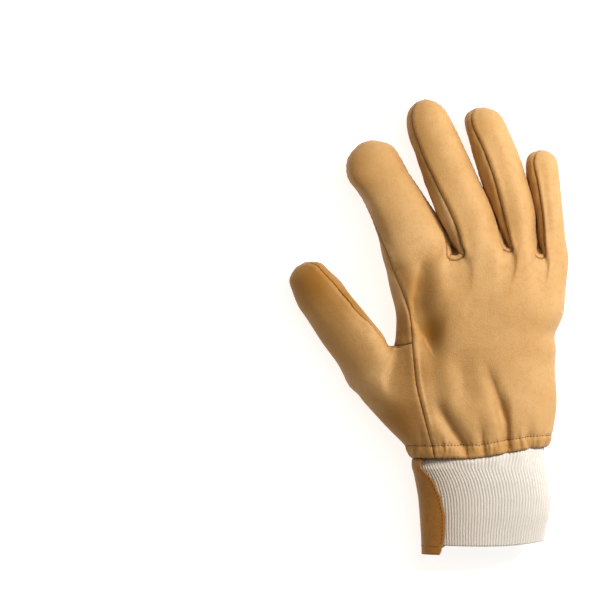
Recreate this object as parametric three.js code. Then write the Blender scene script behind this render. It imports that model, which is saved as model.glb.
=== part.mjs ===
// Lined leather work glove for the right hand, lying palm down. Millimetres, +Z up,
// fingers toward +Y, thumb toward -X. The leather is laid out as one surface of rings
// that follow the seams. It is then cut along the seams into panels, and each panel
// becomes a closed wall of its own.
import * as THREE from 'three';

// Driving dimensions
const leatherWall = 2.0;
const liningWall = 1.0;
const guardWall = 1.6;
const knitWall = 2.0;
const pieceGap = 0.3;
const cuffRibs = 36;
const cuffRibHeight = 0.5;
const columnsPerFinger = 6;
const handSquareness = 2.6;
const palmSquareness = 3.4;
const fingerSquareness = 2.25;
const crotchDip = 5.5;
const palmLead = 11;
const leadAtThumbSide = 0.3;
const crotchLead = 1.5;

// A row of values gets the names of its columns
function table(columns, rows) {
  return rows.map((row) => Object.fromEntries(columns.map((name, i) => [name, row[i]])));
}

// Sections of the fingers, from the root to where the tip starts to round. x, y and z
// are the centre, turn is the direction across the finger, and the four seams are
// angles round the section: 0 is right, 90 is the back of the hand, 180 is left.
const fingerColumns = [
  'x', 'y', 'z', 'width', 'depth', 'turn', 'backLeft', 'backRight', 'palmLeft', 'palmRight',
];
const fingers = [
  {
    name: 'index',
    knuckle: [-22.6, 11.2],
    palmRoot: [-17.0, 13.4],
    tip: [-39.0, 114.1, 11.5],
    sections: table(fingerColumns, [
      [-10.8, 52.4, 26.0, 40.6, 34.0, 24.5, 147, -4, 228, -48],
      [-18.0, 70.6, 22.3, 35.4, 32.0, 23.0, 172, -8, 232, -44],
      [-26.2, 85.4, 18.8, 32.8, 29.5, 21.5, 184, -8, 238, -40],
      [-33.6, 97.0, 14.6, 34.6, 27.4, 18.0, 188, -8, 240, -34],
    ]),
  },
  {
    name: 'middle',
    knuckle: [19.4, 43.8],
    palmRoot: [17.0, 44.9],
    tip: [-5.6, 139.4, 10.8],
    sections: table(fingerColumns, [
      [23.1, 66.9, 28.5, 30.2, 34.0, 21.0, 126, -4, 228, -50],
      [14.8, 85.4, 25.0, 30.8, 32.0, 19.5, 126, -8, 225, -46],
      [7.6, 104.0, 20.6, 28.9, 29.0, 19.0, 137, -8, 220, -40],
      [0.5, 121.7, 14.6, 26.8, 27.0, 19.0, 140, -8, 212, -32],
    ]),
  },
  {
    name: 'ring',
    knuckle: [48.4, 63.2],
    palmRoot: [47.4, 64.2],
    tip: [30.2, 135.0, 10.8],
    sections: table(fingerColumns, [
      [52.6, 67.8, 26.5, 22.8, 32.0, 15.5, 132, -4, 230, -50],
      [44.7, 90.4, 23.4, 26.4, 30.5, 14.5, 115, -8, 226, -46],
      [39.0, 109.2, 18.8, 26.0, 28.0, 12.0, 119, -8, 220, -40],
      [34.2, 123.6, 13.9, 23.4, 25.8, 9.0, 133, -8, 212, -32],
    ]),
  },
  {
    name: 'little',
    knuckle: [68.8, 81.6],
    palmRoot: [67.6, 79.0],
    tip: [68.4, 109.0, 11.0],
    sections: table(fingerColumns, [
      [72.4, 69.8, 23.0, 17.0, 27.5, 5.0, 122, 18, 232, -52],
      [69.5, 88.6, 18.4, 19.4, 26.0, 4.0, 116, 15, 226, -48],
      [68.9, 99.4, 15.0, 19.0, 24.0, 2.0, 127, 12, 215, -40],
    ]),
  },
];

// Sections of the thumb from its root to where the tip starts to round. corner is the
// angle of the seam that runs down to the crotch.
const thumbColumns = ['x', 'y', 'z', 'width', 'depth', 'turn', 'corner'];
const thumbSections = table(thumbColumns, [
  [-37.2, -23.2, 17.8, 34.4, 33.0, 47, 36],
  [-41.6, -14.4, 16.8, 33.0, 31.0, 37, 39],
  [-49.0, -4.7, 15.8, 32.2, 29.5, 35, 42],
  [-59.9, 10.0, 14.6, 30.6, 28.4, 34, 43],
  [-67.9, 21.6, 13.4, 29.8, 27.2, 31, 45],
  [-73.0, 29.3, 12.4, 25.6, 24.8, 29, 45],
]);
const thumbTip = [-79.0, 39.0, 11.0];

// Rings round the hand, from the knuckles to the hem. part is the way down the hand,
// left and right are the outline, seam is the back seam of the thumb side, top and low
// are the heights of the back and of the palm, middle is the height of the side edges,
// leftShape is how square the thumb side is, sag drops the ring at the thumb side.
const handColumns = ['part', 'left', 'seam', 'right', 'top', 'middle', 'low', 'leftShape', 'sag'];
const handRings = table(handColumns, [
  [0.000, -26.6, -22.6, 84.2, 49.5, 21, 7.0, 2.6, 0.0],
  [0.100, -24.2, -18.0, 83.3, 51.0, 21, 6.0, 2.6, 0.0],
  [0.200, -21.4, -14.4, 82.0, 52.0, 21, 4.5, 2.5, 0.5],
  [0.300, -20.7, -12.2, 80.7, 52.2, 20, 3.2, 2.4, 1.6],
  [0.390, -22.2, -11.6, 76.0, 51.6, 20, 2.2, 2.3, 2.6],
  [0.466, -27.0, -10.6, 76.8, 51.0, 19, 1.2, 2.1, 1.0],
  [0.543, -32.4, -9.8, 76.2, 50.4, 18, 0.4, 1.95, 0.0],
  [0.620, -37.4, -8.6, 76.2, 49.8, 18, -0.4, 1.8, 0.0],
  [0.696, -40.6, -6.7, 76.9, 49.0, 18, -1.0, 1.7, 0.0],
  [0.775, -32.2, -4.3, 77.0, 48.0, 18, -1.4, 1.75, 0.0],
  [0.855, -24.0, -1.8, 75.9, 46.6, 19, -1.4, 1.9, 0.0],
  [0.934, -16.2, 0.6, 74.2, 44.6, 20, -1.2, 2.1, 0.0],
  [1.000, -12.4, 2.4, 71.9, 43.6, 20, -1.2, 2.2, 0.0],
]);
const thumbRingFirst = 4;
const thumbRingLast = 8;

// Where the knuckle ring and the hem run in plan
const knuckleLine = table(['x', 'y'], [[-27, 33], [15.2, 41.2], [46.1, 46.6], [65.9, 42.4], [84, 38.5]]);
const hemLine = table(['x', 'y'], [[-13, -79.3], [30, -78.6], [47, -75.6], [60, -73.4], [72, -72.6]]);

// Valleys and hollows of the back. A valley runs from one point to the other and fades
// out at both ends, width is its half width.
const foldColumns = ['fromX', 'fromY', 'toX', 'toY', 'width', 'depth'];
const backFolds = table(foldColumns, [
  [4.3, -48.8, 20.7, -73.0, 4.5, 2.6],
  [34.2, -26.2, 42.5, -47.0, 4.0, 1.6],
  [42.5, -47.0, 46.7, -74.0, 3.6, 2.4],
  [59.2, -60.0, 61.8, -75.0, 3.0, 1.5],
  [-6.2, -60.0, -4.0, -76.0, 3.0, 1.2],
  [30.0, -62.0, 31.0, -77.0, 3.0, 1.2],
  [18.3, -24.0, 19.0, -34.0, 10.0, 1.4],
  [-4.9, 38.4, -7.3, 12.0, 6.5, 2.2],
  [-1.8, 6.0, -3.0, -6.0, 10.0, 1.6],
]);

// Sections of the knit cuff below the hem, and the wrist guard that lies on it: front
// and back are the angles round the wrist where the guard begins and ends
const cuffSections = table(['y', 'left', 'right', 'top', 'low'], [
  [-85.0, -8.9, 70.6, 41.0, 3.4],
  [-93.0, -6.7, 72.4, 40.2, 2.6],
  [-103.0, -4.9, 73.7, 38.6, 2.4],
  [-113.5, -4.0, 72.8, 36.8, 2.4],
  [-123.0, -3.3, 70.4, 35.0, 2.4],
  [-132.6, -2.8, 69.4, 33.5, 2.4],
]);
const cuffEndBow = 2.8;
const guardSections = table(['y', 'front', 'back'], [
  [-85.0, 149, 308],
  [-92.0, 138, 303],
  [-103.0, 130, 298],
  [-114.0, 126, 298],
  [-128.0, 127, 300],
  [-137.8, 134, 303],
]);
const guardEndRise = 6.5;
const guardEndSide = 16;
const wristSquareness = 2.35;

const radians = Math.PI / 180;
const mix = (a, b, t) => a + (b - a) * t;
const power = (value, exponent) => Math.sign(value) * Math.abs(value) ** exponent;

// Height of a line given by a few points, straight between them
function along(points, x) {
  let i = 0;
  while (i < points.length - 2 && x > points[i + 1].x) {
    i += 1;
  }
  const share = THREE.MathUtils.clamp((x - points[i].x) / (points[i + 1].x - points[i].x), 0, 1);
  return mix(points[i].y, points[i + 1].y, share);
}

// Depth of all valleys of the back at one place
function foldDepth(x, y) {
  let depth = 0;
  for (const fold of backFolds) {
    const runX = fold.toX - fold.fromX;
    const runY = fold.toY - fold.fromY;
    const reach = ((x - fold.fromX) * runX + (y - fold.fromY) * runY) / (runX * runX + runY * runY);
    const share = THREE.MathUtils.clamp(reach, 0, 1);
    const away = Math.hypot(x - fold.fromX - share * runX, y - fold.fromY - share * runY);
    depth += fold.depth * Math.exp(-((away / fold.width) ** 2));
  }
  return depth;
}

// The leather surface: points, and faces that each belong to a panel
const points = [];
const faces = [];

function addPoint(x, y, z) {
  points.push(new THREE.Vector3(x, y, Math.max(z, 0)));
  return points.length - 1;
}

// Corners are given as they run round when seen from inside the glove
function addFace(panel, ...corners) {
  faces.push({ panel, corners: corners.reverse() });
}

// Stitches two loops of the same length together, panel(i) names the panel of column i
function joinLoops(near, far, panel) {
  for (let i = 0; i < near.length; i += 1) {
    const next = (i + 1) % near.length;
    addFace(panel(i), near[i], near[next], far[next], far[i]);
  }
}

// Columns of the back or the palm across the hand: at the knuckles they follow the
// fingers, further down they even out
function columnShares(spans) {
  const across = spans.flatMap(([from, to]) => {
    return Array.from({ length: columnsPerFinger + 1 }, (_, i) => mix(from, to, i / columnsPerFinger));
  });
  const width = across[across.length - 1] - across[0];
  return across.map((x) => (x - across[0]) / width);
}
const backShares = columnShares(fingers.map((finger) => finger.knuckle));
const palmShares = columnShares(fingers.map((finger) => finger.palmRoot));
const lastColumn = backShares.length - 1;

// Half of a hand ring seen from its middle: squareness and half height by side
function sectionHeight(ring, x, upper) {
  const middleX = (ring.left + ring.right) / 2;
  const half = (ring.right - ring.left) / 2;
  const offset = THREE.MathUtils.clamp((x - middleX) / half, -1, 1);
  const backShape = offset < 0 ? ring.leftShape : handSquareness;
  const shape = upper ? backShape : palmSquareness;
  const rise = (1 - Math.abs(offset) ** shape) ** (1 / shape);
  return mix(ring.middle, upper ? ring.top : ring.low, rise);
}

function handRing(ring) {
  const even = THREE.MathUtils.smoothstep(ring.part, 0, 0.5);
  const lead = palmLead * (1 - THREE.MathUtils.smoothstep(ring.part, 0, 0.45));
  const runY = (x) => mix(along(knuckleLine, x), along(hemLine, x), ring.part);
  const atBackCrotch = (i) => Math.max(...[6.5, 13.5, 20.5].map((c) => Math.exp(-(((i - c) / 1.1) ** 2))));
  const nearKnuckles = 1 - THREE.MathUtils.smoothstep(ring.part, 0, 0.16);
  const dip = crotchDip * nearKnuckles;
  const back = backShares.map((share, i) => {
    const x = mix(ring.seam, ring.right - 2, mix(share, i / lastColumn, even));
    const z = sectionHeight(ring, x, true) - dip * atBackCrotch(i) - foldDepth(x, runY(x));
    return addPoint(x, runY(x), z);
  });
  const palmLeft = ring.left + mix(9, 22, THREE.MathUtils.smoothstep(ring.part, 0.3, 0.65));
  const palm = palmShares.map((share, i) => {
    const x = mix(palmLeft, ring.right - 4.6, mix(share, i / lastColumn, even));
    const fromThumbSide = mix(leadAtThumbSide, 1, THREE.MathUtils.smoothstep(i, 0, columnsPerFinger));
    const atCrotch = crotchLead * atBackCrotch(i) * nearKnuckles;
    const y = runY(x) + lead * fromThumbSide + atCrotch;
    return addPoint(x, y, sectionHeight(ring, x, false) + 0.4 * dip * atBackCrotch(i));
  });
  const right = addPoint(ring.right, runY(ring.right) + lead * 0.4, ring.middle);
  const middleX = (ring.left + ring.right) / 2;
  const half = (ring.right - ring.left) / 2;
  const sideAngle = (x, shape) => Math.acos(Math.abs((x - middleX) / half) ** (shape / 2)) / radians;
  const seamAngle = sideAngle(ring.seam, ring.leftShape);
  const palmAngle = sideAngle(palmLeft, palmSquareness);
  const left = [2, 1, 0, -1, -2].map((step) => {
    const angle = step > 0 ? (seamAngle * step) / 3 : (palmAngle * step) / 3;
    const shape = step > 0 ? ring.leftShape : mix(ring.leftShape, palmSquareness, -step / 3);
    const x = middleX - half * Math.cos(angle * radians) ** (2 / shape);
    const height = step > 0 ? ring.top - ring.middle : ring.middle - ring.low;
    const z = ring.middle + height * power(Math.sin(angle * radians), 2 / shape);
    const sag = ring.sag * (1 - Math.abs(step) / 3);
    return addPoint(x, runY(x) + (lead * leadAtThumbSide * (2 - step)) / 5 - sag, z);
  });
  return { back, palm, right, left };
}

// One loop round a ring: over the back, down the right, under the palm, up the left
function ringLoop(ring) {
  return [...ring.back, ring.right, ...ring.palm.toReversed(), ...ring.left.toReversed()];
}

const hand = handRings.map(handRing);
const handLoops = hand.map(ringLoop);
const leftStart = 2 * (lastColumn + 1) + 1;

// Panel of a face of the hand: the back and its right edge, then the palm, then the left side
function handPanel(row, column) {
  if (column <= lastColumn + 1) {
    return 'back_panel';
  }
  const side = column - (leftStart - 1);
  return side <= 0 || row < thumbRingFirst ? 'palm_panel' : 'thumb_back';
}

for (let row = 0; row < handLoops.length - 1; row += 1) {
  const near = handLoops[row];
  const far = handLoops[row + 1];
  for (let i = 0; i < near.length; i += 1) {
    const next = (i + 1) % near.length;
    const side = i - (leftStart - 1);
    const inThumbHole = row >= thumbRingFirst && row < thumbRingLast && side >= 1 && side <= 4;
    if (!inThumbHole) {
      addFace(handPanel(row, i), near[i], near[next], far[next], far[i]);
    }
  }
}

// A point of a finger section at an angle round it
function sectionPoint(section, angle) {
  const across = power(Math.cos(angle * radians), 2 / fingerSquareness) * section.width * 0.5;
  const up = power(Math.sin(angle * radians), 2 / fingerSquareness) * section.depth * 0.5;
  const turn = section.turn * radians;
  return new THREE.Vector3(
    section.x + across * Math.cos(turn),
    section.y + across * Math.sin(turn),
    Math.max(section.z + up, 0),
  );
}

// Sections that round off a tip, from the last section to the tip point
function tipSections(last, tip) {
  return [0.42, 0.74, 0.96].map((share) => {
    const scale = Math.sqrt(1 - share * share);
    return {
      ...last,
      x: mix(last.x, tip[0], share),
      y: mix(last.y, tip[1], share),
      z: mix(last.z, tip[2], share),
      width: last.width * scale,
      depth: last.depth * scale,
    };
  });
}

// Extra rings between two, on a smooth curve through the rings before and after
function between(before, from, to, after, share) {
  const curve = (a, b, c, d) => {
    const t = share;
    const square = (2 * a - 5 * b + 4 * c - d) * t * t;
    const cube = (3 * b - a - 3 * c + d) * t ** 3;
    return 0.5 * (2 * b + (c - a) * t + square + cube);
  };
  return from.map((point, i) => new THREE.Vector3(
    curve(before[i].x, point.x, to[i].x, after[i].x),
    curve(before[i].y, point.y, to[i].y, after[i].y),
    curve(before[i].z, point.z, to[i].z, after[i].z),
  ));
}

// Point rings along a finger with the extra rings, counts[k] of them after ring k
function refine(rings, counts) {
  const result = [];
  rings.forEach((ring, k) => {
    result.push(ring);
    const next = rings[k + 1];
    const count = next ? counts[k] ?? 0 : 0;
    for (let step = 1; step <= count; step += 1) {
      result.push(between(rings[k - 1] ?? ring, ring, next, rings[k + 2] ?? next, step / (count + 1)));
    }
  });
  return result;
}

function fingerAngles(section, leftCount) {
  const steps = Array.from({ length: columnsPerFinger + 1 }, (_, i) => i / columnsPerFinger);
  const back = steps.map((t) => mix(section.backLeft, section.backRight, t));
  const palm = steps.map((t) => mix(section.palmLeft, 360 + section.palmRight, t)).toReversed();
  const side = Array.from({ length: leftCount }, (_, i) => {
    return mix(section.palmLeft, section.backLeft, (i + 1) / (leftCount + 1));
  });
  return [...back, (section.backRight + section.palmRight) / 2, ...palm, ...side];
}

// Points in the gap between two fingers, halfway down its floor
function crotchPoint(finger, side) {
  const k = fingers.indexOf(finger);
  const first = k * (columnsPerFinger + 1);
  const column = side === 'right' ? first + columnsPerFinger : first;
  const upper = points[hand[0].back[column]];
  const under = points[hand[0].palm[column]];
  return addPoint(mix(upper.x, under.x, 0.7), mix(upper.y, under.y, 0.75), mix(upper.z, under.z, 0.5));
}

const fingerPanels = {
  index: { left: 'palm_panel', front: 'palm_panel', right: 'fourchette_index_middle' },
  middle: { left: 'fourchette_index_middle', front: 'finger_front_middle', right: 'fourchette_middle_ring' },
  ring: { left: 'fourchette_middle_ring', front: 'finger_front_ring', right: 'fourchette_ring_little' },
  little: { left: 'fourchette_ring_little', front: 'palm_panel', right: 'back_panel' },
};

function buildFinger(finger, k) {
  const first = k * (columnsPerFinger + 1);
  const last = first + columnsPerFinger;
  const leftSide = k === 0 ? hand[0].left.toReversed() : [crotchPoint(finger, 'left')];
  const rightSide = k === fingers.length - 1 ? hand[0].right : crotchPoint(finger, 'right');
  const back = hand[0].back.slice(first, last + 1);
  const palm = hand[0].palm.slice(first, last + 1).toReversed();
  const root = [...back, rightSide, ...palm, ...leftSide];
  const sections = [...finger.sections, ...tipSections(finger.sections.at(-1), finger.tip)];
  const rings = sections.map((section) => {
    return fingerAngles(section, leftSide.length).map((angle) => sectionPoint(section, angle));
  });
  const counts = finger.sections.map((_, i) => (i === 0 ? 2 : 1));
  counts[finger.sections.length] = 0;
  const fine = refine([root.map((i) => points[i]), ...rings], counts).slice(1);
  const loops = [root, ...fine.map((ring) => ring.map((p) => addPoint(p.x, p.y, p.z)))];
  const panels = fingerPanels[finger.name];
  const panelAt = (i) => {
    if (i < columnsPerFinger) {
      return 'back_panel';
    }
    if (i < columnsPerFinger + 2) {
      return panels.right;
    }
    return i < 2 * columnsPerFinger + 2 ? panels.front : panels.left;
  };
  for (let row = 0; row < loops.length - 1; row += 1) {
    joinLoops(loops[row + 1], loops[row], panelAt);
  }
  closeTip(loops.at(-1), columnsPerFinger, panels.front);
  return { root, left: leftSide[0], right: rightSide };
}

// Closes the small last ring of a finger: a strip from the back to the front, then the sides
function closeTip(loop, columns, panel) {
  const frontFirst = columns + 2;
  for (let i = 0; i < columns; i += 1) {
    addFace(panel, loop[i + 1], loop[i], loop[frontFirst + columns - i], loop[frontFirst + columns - i - 1]);
  }
  addFace(panel, loop[columns], loop[frontFirst], loop[columns + 1]);
  closeSide(loop.slice(frontFirst + columns).concat(loop[0]), panel);
}

// Closes an end patch whose corners run round in order
function closeSide(corners, panel) {
  const ring = corners.slice();
  while (ring.length > 3) {
    const [first, second] = ring;
    const [beforeLast, last] = ring.slice(-2);
    addFace(panel, last, beforeLast, second, first);
    ring.shift();
    ring.pop();
  }
  if (ring.length === 3) {
    addFace(panel, ring[2], ring[1], ring[0]);
  }
}

const fingerRoots = fingers.map(buildFinger);

// Floor of the gap between two fingers
['fourchette_index_middle', 'fourchette_middle_ring', 'fourchette_ring_little'].forEach((panel, k) => {
  const near = k * (columnsPerFinger + 1) + columnsPerFinger;
  const nearSide = fingerRoots[k].right;
  const farSide = fingerRoots[k + 1].left;
  addFace(panel, hand[0].back[near], nearSide, farSide, hand[0].back[near + 1]);
  addFace(panel, nearSide, hand[0].palm[near], hand[0].palm[near + 1], farSide);
});

// The thumb grows out of the opening in the left side of the hand
function buildThumb() {
  const rows = hand.slice(thumbRingFirst, thumbRingLast + 1);
  const over = rows.map((row) => row.left[0]);
  const outer = rows.at(-1).left.slice(1, 4);
  const under = rows.map((row) => row.left[4]).toReversed();
  const crotch = rows[0].left.slice(1, 4).toReversed();
  const root = [...over, ...outer, ...under, ...crotch];
  const sections = [...thumbSections, ...tipSections(thumbSections.at(-1), thumbTip)];
  const rings = sections.map((section) => {
    return root.map((_, i) => sectionPoint(section, section.corner + (i * 360) / root.length));
  });
  const fine = refine([root.map((i) => points[i]), ...rings], [1, 0, 0, 1, 1]).slice(1);
  const loops = [root, ...fine.map((ring) => ring.map((p) => addPoint(p.x, p.y, p.z)))];
  const panelAt = (i) => (i < root.length / 2 ? 'thumb_back' : 'thumb_front');
  for (let row = 0; row < loops.length - 1; row += 1) {
    joinLoops(loops[row], loops[row + 1], panelAt);
  }
  const end = loops.at(-1);
  for (let i = 0; i < 4; i += 1) {
    addFace('thumb_front', end[i], end[i + 1], end[11 - i], end[12 - i]);
  }
  closeSide(end.slice(4, 9).toReversed(), 'thumb_front');
  closeSide([...end.slice(12), end[0]].toReversed(), 'thumb_front');
}
buildThumb();

// Outward directions of the whole leather surface
function surfaceNormals() {
  const normals = points.map(() => new THREE.Vector3());
  for (const face of faces) {
    const corners = face.corners.map((i) => points[i]);
    corners.forEach((corner, i) => {
      const next = corners[(i + 1) % corners.length];
      const previous = corners[(i + corners.length - 1) % corners.length];
      const toNext = next.clone().sub(corner);
      const toPrevious = previous.clone().sub(corner);
      const weight = toNext.angleTo(toPrevious);
      normals[face.corners[i]].addScaledVector(toNext.cross(toPrevious).normalize(), weight);
    });
  }
  normals.forEach((normal) => normal.normalize());
  return normals;
}

// Two triangles for a face of four corners, along its shorter diagonal
function triangles(corners, at) {
  if (corners.length === 3) {
    return [corners];
  }
  const [a, b, c, d] = corners;
  if (at(a).distanceTo(at(c)) <= at(b).distanceTo(at(d))) {
    return [[a, b, c], [a, c, d]];
  }
  return [[a, b, d], [b, c, d]];
}

function meshGeometry(vertices, index) {
  const geometry = new THREE.BufferGeometry();
  const flat = vertices.flatMap((vertex) => vertex.toArray());
  geometry.setAttribute('position', new THREE.Float32BufferAttribute(flat, 3));
  geometry.setIndex(index.flat());
  geometry.computeVertexNormals();
  return geometry;
}

const normals = surfaceNormals();

// Leather is thinner where it turns sharply, so that it stays clear of its neighbours
function wallThinning() {
  const sharpness = points.map(() => 1);
  for (const face of faces) {
    const [a, b, c, d] = face.corners.map((i) => points[i]);
    const across = (d ?? c).clone().sub(b);
    const normal = c.clone().sub(a).cross(across).normalize();
    for (const i of face.corners) {
      sharpness[i] = Math.min(sharpness[i], normal.dot(normals[i]));
    }
  }
  return sharpness.map((value) => THREE.MathUtils.clamp(value, 0.5, 1));
}
const thinning = wallThinning();

// The wall of one panel: its outer faces, the same faces moved in, and the cut edges.
// The edges step back so that two panels keep their gap along the seam.
function panelGeometry(panel) {
  const own = faces.filter((face) => face.panel === panel);
  const edges = new Map();
  for (const face of own) {
    face.corners.forEach((from, i) => {
      edges.set(`${from}-${face.corners[(i + 1) % face.corners.length]}`, { face, from });
    });
  }
  const rim = [];
  const setBack = new Map();
  for (const [key, { face, from }] of edges) {
    const to = Number(key.split('-')[1]);
    if (!edges.has(`${to}-${from}`)) {
      rim.push([from, to]);
      const direction = points[to].clone().sub(points[from]).normalize();
      const centre = new THREE.Vector3();
      face.corners.forEach((i) => centre.add(points[i]));
      centre.divideScalar(face.corners.length).sub(points[from]);
      centre.addScaledVector(direction, -centre.dot(direction)).normalize();
      for (const end of [from, to]) {
        setBack.set(end, [...(setBack.get(end) ?? []), centre]);
      }
    }
  }
  const used = [...new Set(own.flatMap((face) => face.corners))];
  const place = new Map(used.map((point, i) => [point, i]));
  const outer = used.map((i) => {
    const point = points[i].clone();
    const inward = setBack.get(i);
    if (inward) {
      const sum = inward.reduce((total, direction) => total.add(direction), new THREE.Vector3());
      const spread = Math.max(sum.lengthSq() / inward.length, 0.5);
      point.addScaledVector(sum, (pieceGap * 0.55) / (spread * thinning[i] ** 2));
    }
    return point;
  });
  const inner = used.map((i, k) => {
    const wall = leatherWall * thinning[i];
    const point = outer[k].clone().addScaledVector(normals[i], -wall);
    point.z = Math.max(point.z, Math.min(outer[k].z, 0.5) + 0.5 * wall);
    return point;
  });
  const index = [];
  for (const face of own) {
    for (const [a, b, c] of triangles(face.corners, (i) => points[i])) {
      index.push([place.get(a), place.get(b), place.get(c)]);
      index.push([place.get(c) + used.length, place.get(b) + used.length, place.get(a) + used.length]);
    }
  }
  for (const [from, to] of rim) {
    const a = place.get(from);
    const b = place.get(to);
    index.push([b, a, a + used.length], [b, a + used.length, b + used.length]);
  }
  return meshGeometry([...outer, ...inner], index);
}

// A closed line of points in one ring, evenly spaced again
function resample(loop, count) {
  const closed = [...loop, loop[0]];
  const lengths = [0];
  for (let i = 1; i < closed.length; i += 1) {
    lengths.push(lengths[i - 1] + closed[i].distanceTo(closed[i - 1]));
  }
  const total = lengths.at(-1);
  let i = 0;
  return Array.from({ length: count }, (_, k) => {
    const goal = (total * k) / count;
    while (lengths[i + 1] < goal) {
      i += 1;
    }
    return closed[i].clone().lerp(closed[i + 1], (goal - lengths[i]) / (lengths[i + 1] - lengths[i]));
  });
}

// A ring moved inward in its own upright plane
function inset(loop, distance) {
  return loop.map((point, i) => {
    const before = loop[(i + loop.length - 1) % loop.length];
    const after = loop[(i + 1) % loop.length];
    const run = new THREE.Vector3(after.x - before.x, 0, after.z - before.z).normalize();
    return new THREE.Vector3(point.x + run.z * distance, point.y, point.z - run.x * distance);
  });
}

// The flattened oval of the wrist at one height along it, with its own margin added
function wristPoint(section, margin, angle) {
  const middleX = (section.left + section.right) / 2;
  const half = (section.right - section.left) / 2 + margin;
  const middleZ = (section.top + section.low) / 2;
  const tall = (section.top - section.low) / 2 + margin;
  return new THREE.Vector3(
    middleX + half * power(Math.cos(angle * radians), 2 / wristSquareness),
    section.y,
    middleZ + tall * power(Math.sin(angle * radians), 2 / wristSquareness),
  );
}

// A ring of the wrist from the left, over the top to the right and back underneath
function wristRing(section, count) {
  const fine = Array.from({ length: 4 * count }, (_, i) => wristPoint(section, 0, 180 - (i * 90) / count));
  return resample(fine, count);
}

// A closed wall between rings: outer rings from one end to the other, inner rings likewise
function sleeveGeometry(outerRings, innerRings) {
  const count = outerRings[0].length;
  const path = [...outerRings, ...innerRings.toReversed()];
  const vertices = path.flat();
  const index = [];
  path.forEach((_, k) => {
    const next = (k + 1) % path.length;
    for (let i = 0; i < count; i += 1) {
      const j = (i + 1) % count;
      const quad = [k * count + i, k * count + j, next * count + j, next * count + i];
      index.push([quad[2], quad[1], quad[0]], [quad[3], quad[2], quad[0]]);
    }
  });
  return meshGeometry(vertices, index);
}

// A closed wall between two grids of points of the same size
function sheetGeometry(outer, inner) {
  const width = outer[0].length;
  const shift = outer.length * width;
  const index = [];
  const quad = (a, b, c, d) => index.push([c, b, a], [d, c, a]);
  for (let k = 0; k < outer.length - 1; k += 1) {
    for (let i = 0; i < width - 1; i += 1) {
      const a = k * width + i;
      quad(a, a + width, a + width + 1, a + 1);
      quad(a + shift, a + shift + 1, a + shift + width + 1, a + shift + width);
    }
    const left = k * width;
    const right = left + width - 1;
    quad(left, left + shift, left + width + shift, left + width);
    quad(right, right + width, right + width + shift, right + shift);
  }
  for (let i = 0; i < width - 1; i += 1) {
    const end = (outer.length - 1) * width + i;
    quad(i, i + 1, i + 1 + shift, i + shift);
    quad(end, end + shift, end + 1 + shift, end + 1);
  }
  return meshGeometry([...outer.flat(), ...inner.flat()], index);
}

// The hem as a ring that starts at the left and runs over the back
const hemRing = handLoops.at(-1).map((i) => points[i]);
const stitchRing = handLoops.at(-2).map((i) => points[i]);
function hemStation(share) {
  return hemRing.map((point, i) => point.clone().lerp(stitchRing[i], share));
}
function fromLeft(loop) {
  let start = 0;
  loop.forEach((point, i) => {
    if (point.x < loop[start].x) {
      start = i;
    }
  });
  return [...loop.slice(start), ...loop.slice(0, start)];
}

// Distances inside the outer face of the leather, from the lining in to the knit
const liningSeat = leatherWall + 0.8;
const guardSeat = liningSeat + liningWall + 2.5 * pieceGap;

// The lining shows as a narrow rim under the hem
function liningGeometry() {
  const ringAt = (share, distance) => resample(inset(fromLeft(hemStation(share)), distance), 44);
  const shares = [0.8, -0.04];
  const outer = shares.map((share) => ringAt(share, liningSeat));
  const inner = shares.map((share) => ringAt(share, liningSeat + liningWall));
  return sleeveGeometry(outer, inner);
}

// How far inside the hem's outline the wrist runs: tucked in up to the hem's edge,
// then out to its own width. onGuard is 1 where the guard lies outside the knit: it fades
// out and in again between these shares of the way round from the left.
const tuckEnd = -0.1;
const flareShare = -0.3;
const flareInset = 1.0;
const guardFront = [0.12, 0.22];
const guardBack = [0.5, 0.6];
function cuffInset(share, onGuard) {
  const free = share > flareShare ? liningSeat + liningWall + pieceGap : flareInset;
  const guarded = (share > flareShare ? guardSeat : flareInset) + guardWall + pieceGap;
  return mix(free, guarded, onGuard) + cuffRibHeight;
}

// The knit cuff: ribs along its length, its upper end tucked into the hem
function cuffGeometry() {
  const count = 2 * cuffRibs;
  const tucked = [0.9, tuckEnd, flareShare].map((share) => {
    const ring = resample(fromLeft(hemStation(share)), count);
    return ring.map((point, i) => {
      const toRight = THREE.MathUtils.smoothstep(i / count, ...guardFront);
      const toUnder = THREE.MathUtils.smoothstep(i / count, ...guardBack);
      const distance = cuffInset(share, 1 - toRight + toUnder);
      return inset(ring, distance)[i];
    });
  });
  const open = cuffSections.map((section) => {
    return wristRing(section, count).map((point) => {
      const across = (point.x - section.left) / (section.right - section.left);
      const side = (2 * across - 1) ** 2 * (across > 0.5 ? 1 : 0.3);
      const bow = section === cuffSections.at(-1) ? cuffEndBow * side : 0;
      return point.setY(section.y + bow);
    });
  });
  const plain = [...tucked, ...open];
  const outer = plain.map((ring) => {
    const raised = inset(ring, -cuffRibHeight);
    return ring.map((point, i) => (i % 2 ? point : raised[i]));
  });
  const inner = plain.map((ring) => inset(ring, knitWall - cuffRibHeight));
  return sleeveGeometry(outer, inner);
}

// The nearest point of a closed line, seen along the wrist
function nearest(loop, goal) {
  const fine = new THREE.CatmullRomCurve3(loop, true).getSpacedPoints(400);
  const away = (point) => Math.hypot(point.x - goal.x, point.z - goal.z);
  return fine.reduce((best, point) => (away(point) < away(best) ? point : best)).clone();
}

// The cuff's section anywhere along the wrist
function cuffSectionAt(y) {
  const value = (name) => -along(cuffSections.map((section) => ({ x: -section.y, y: -section[name] })), -y);
  return { y, left: value('left'), right: value('right'), top: value('top'), low: value('low') };
}

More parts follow.
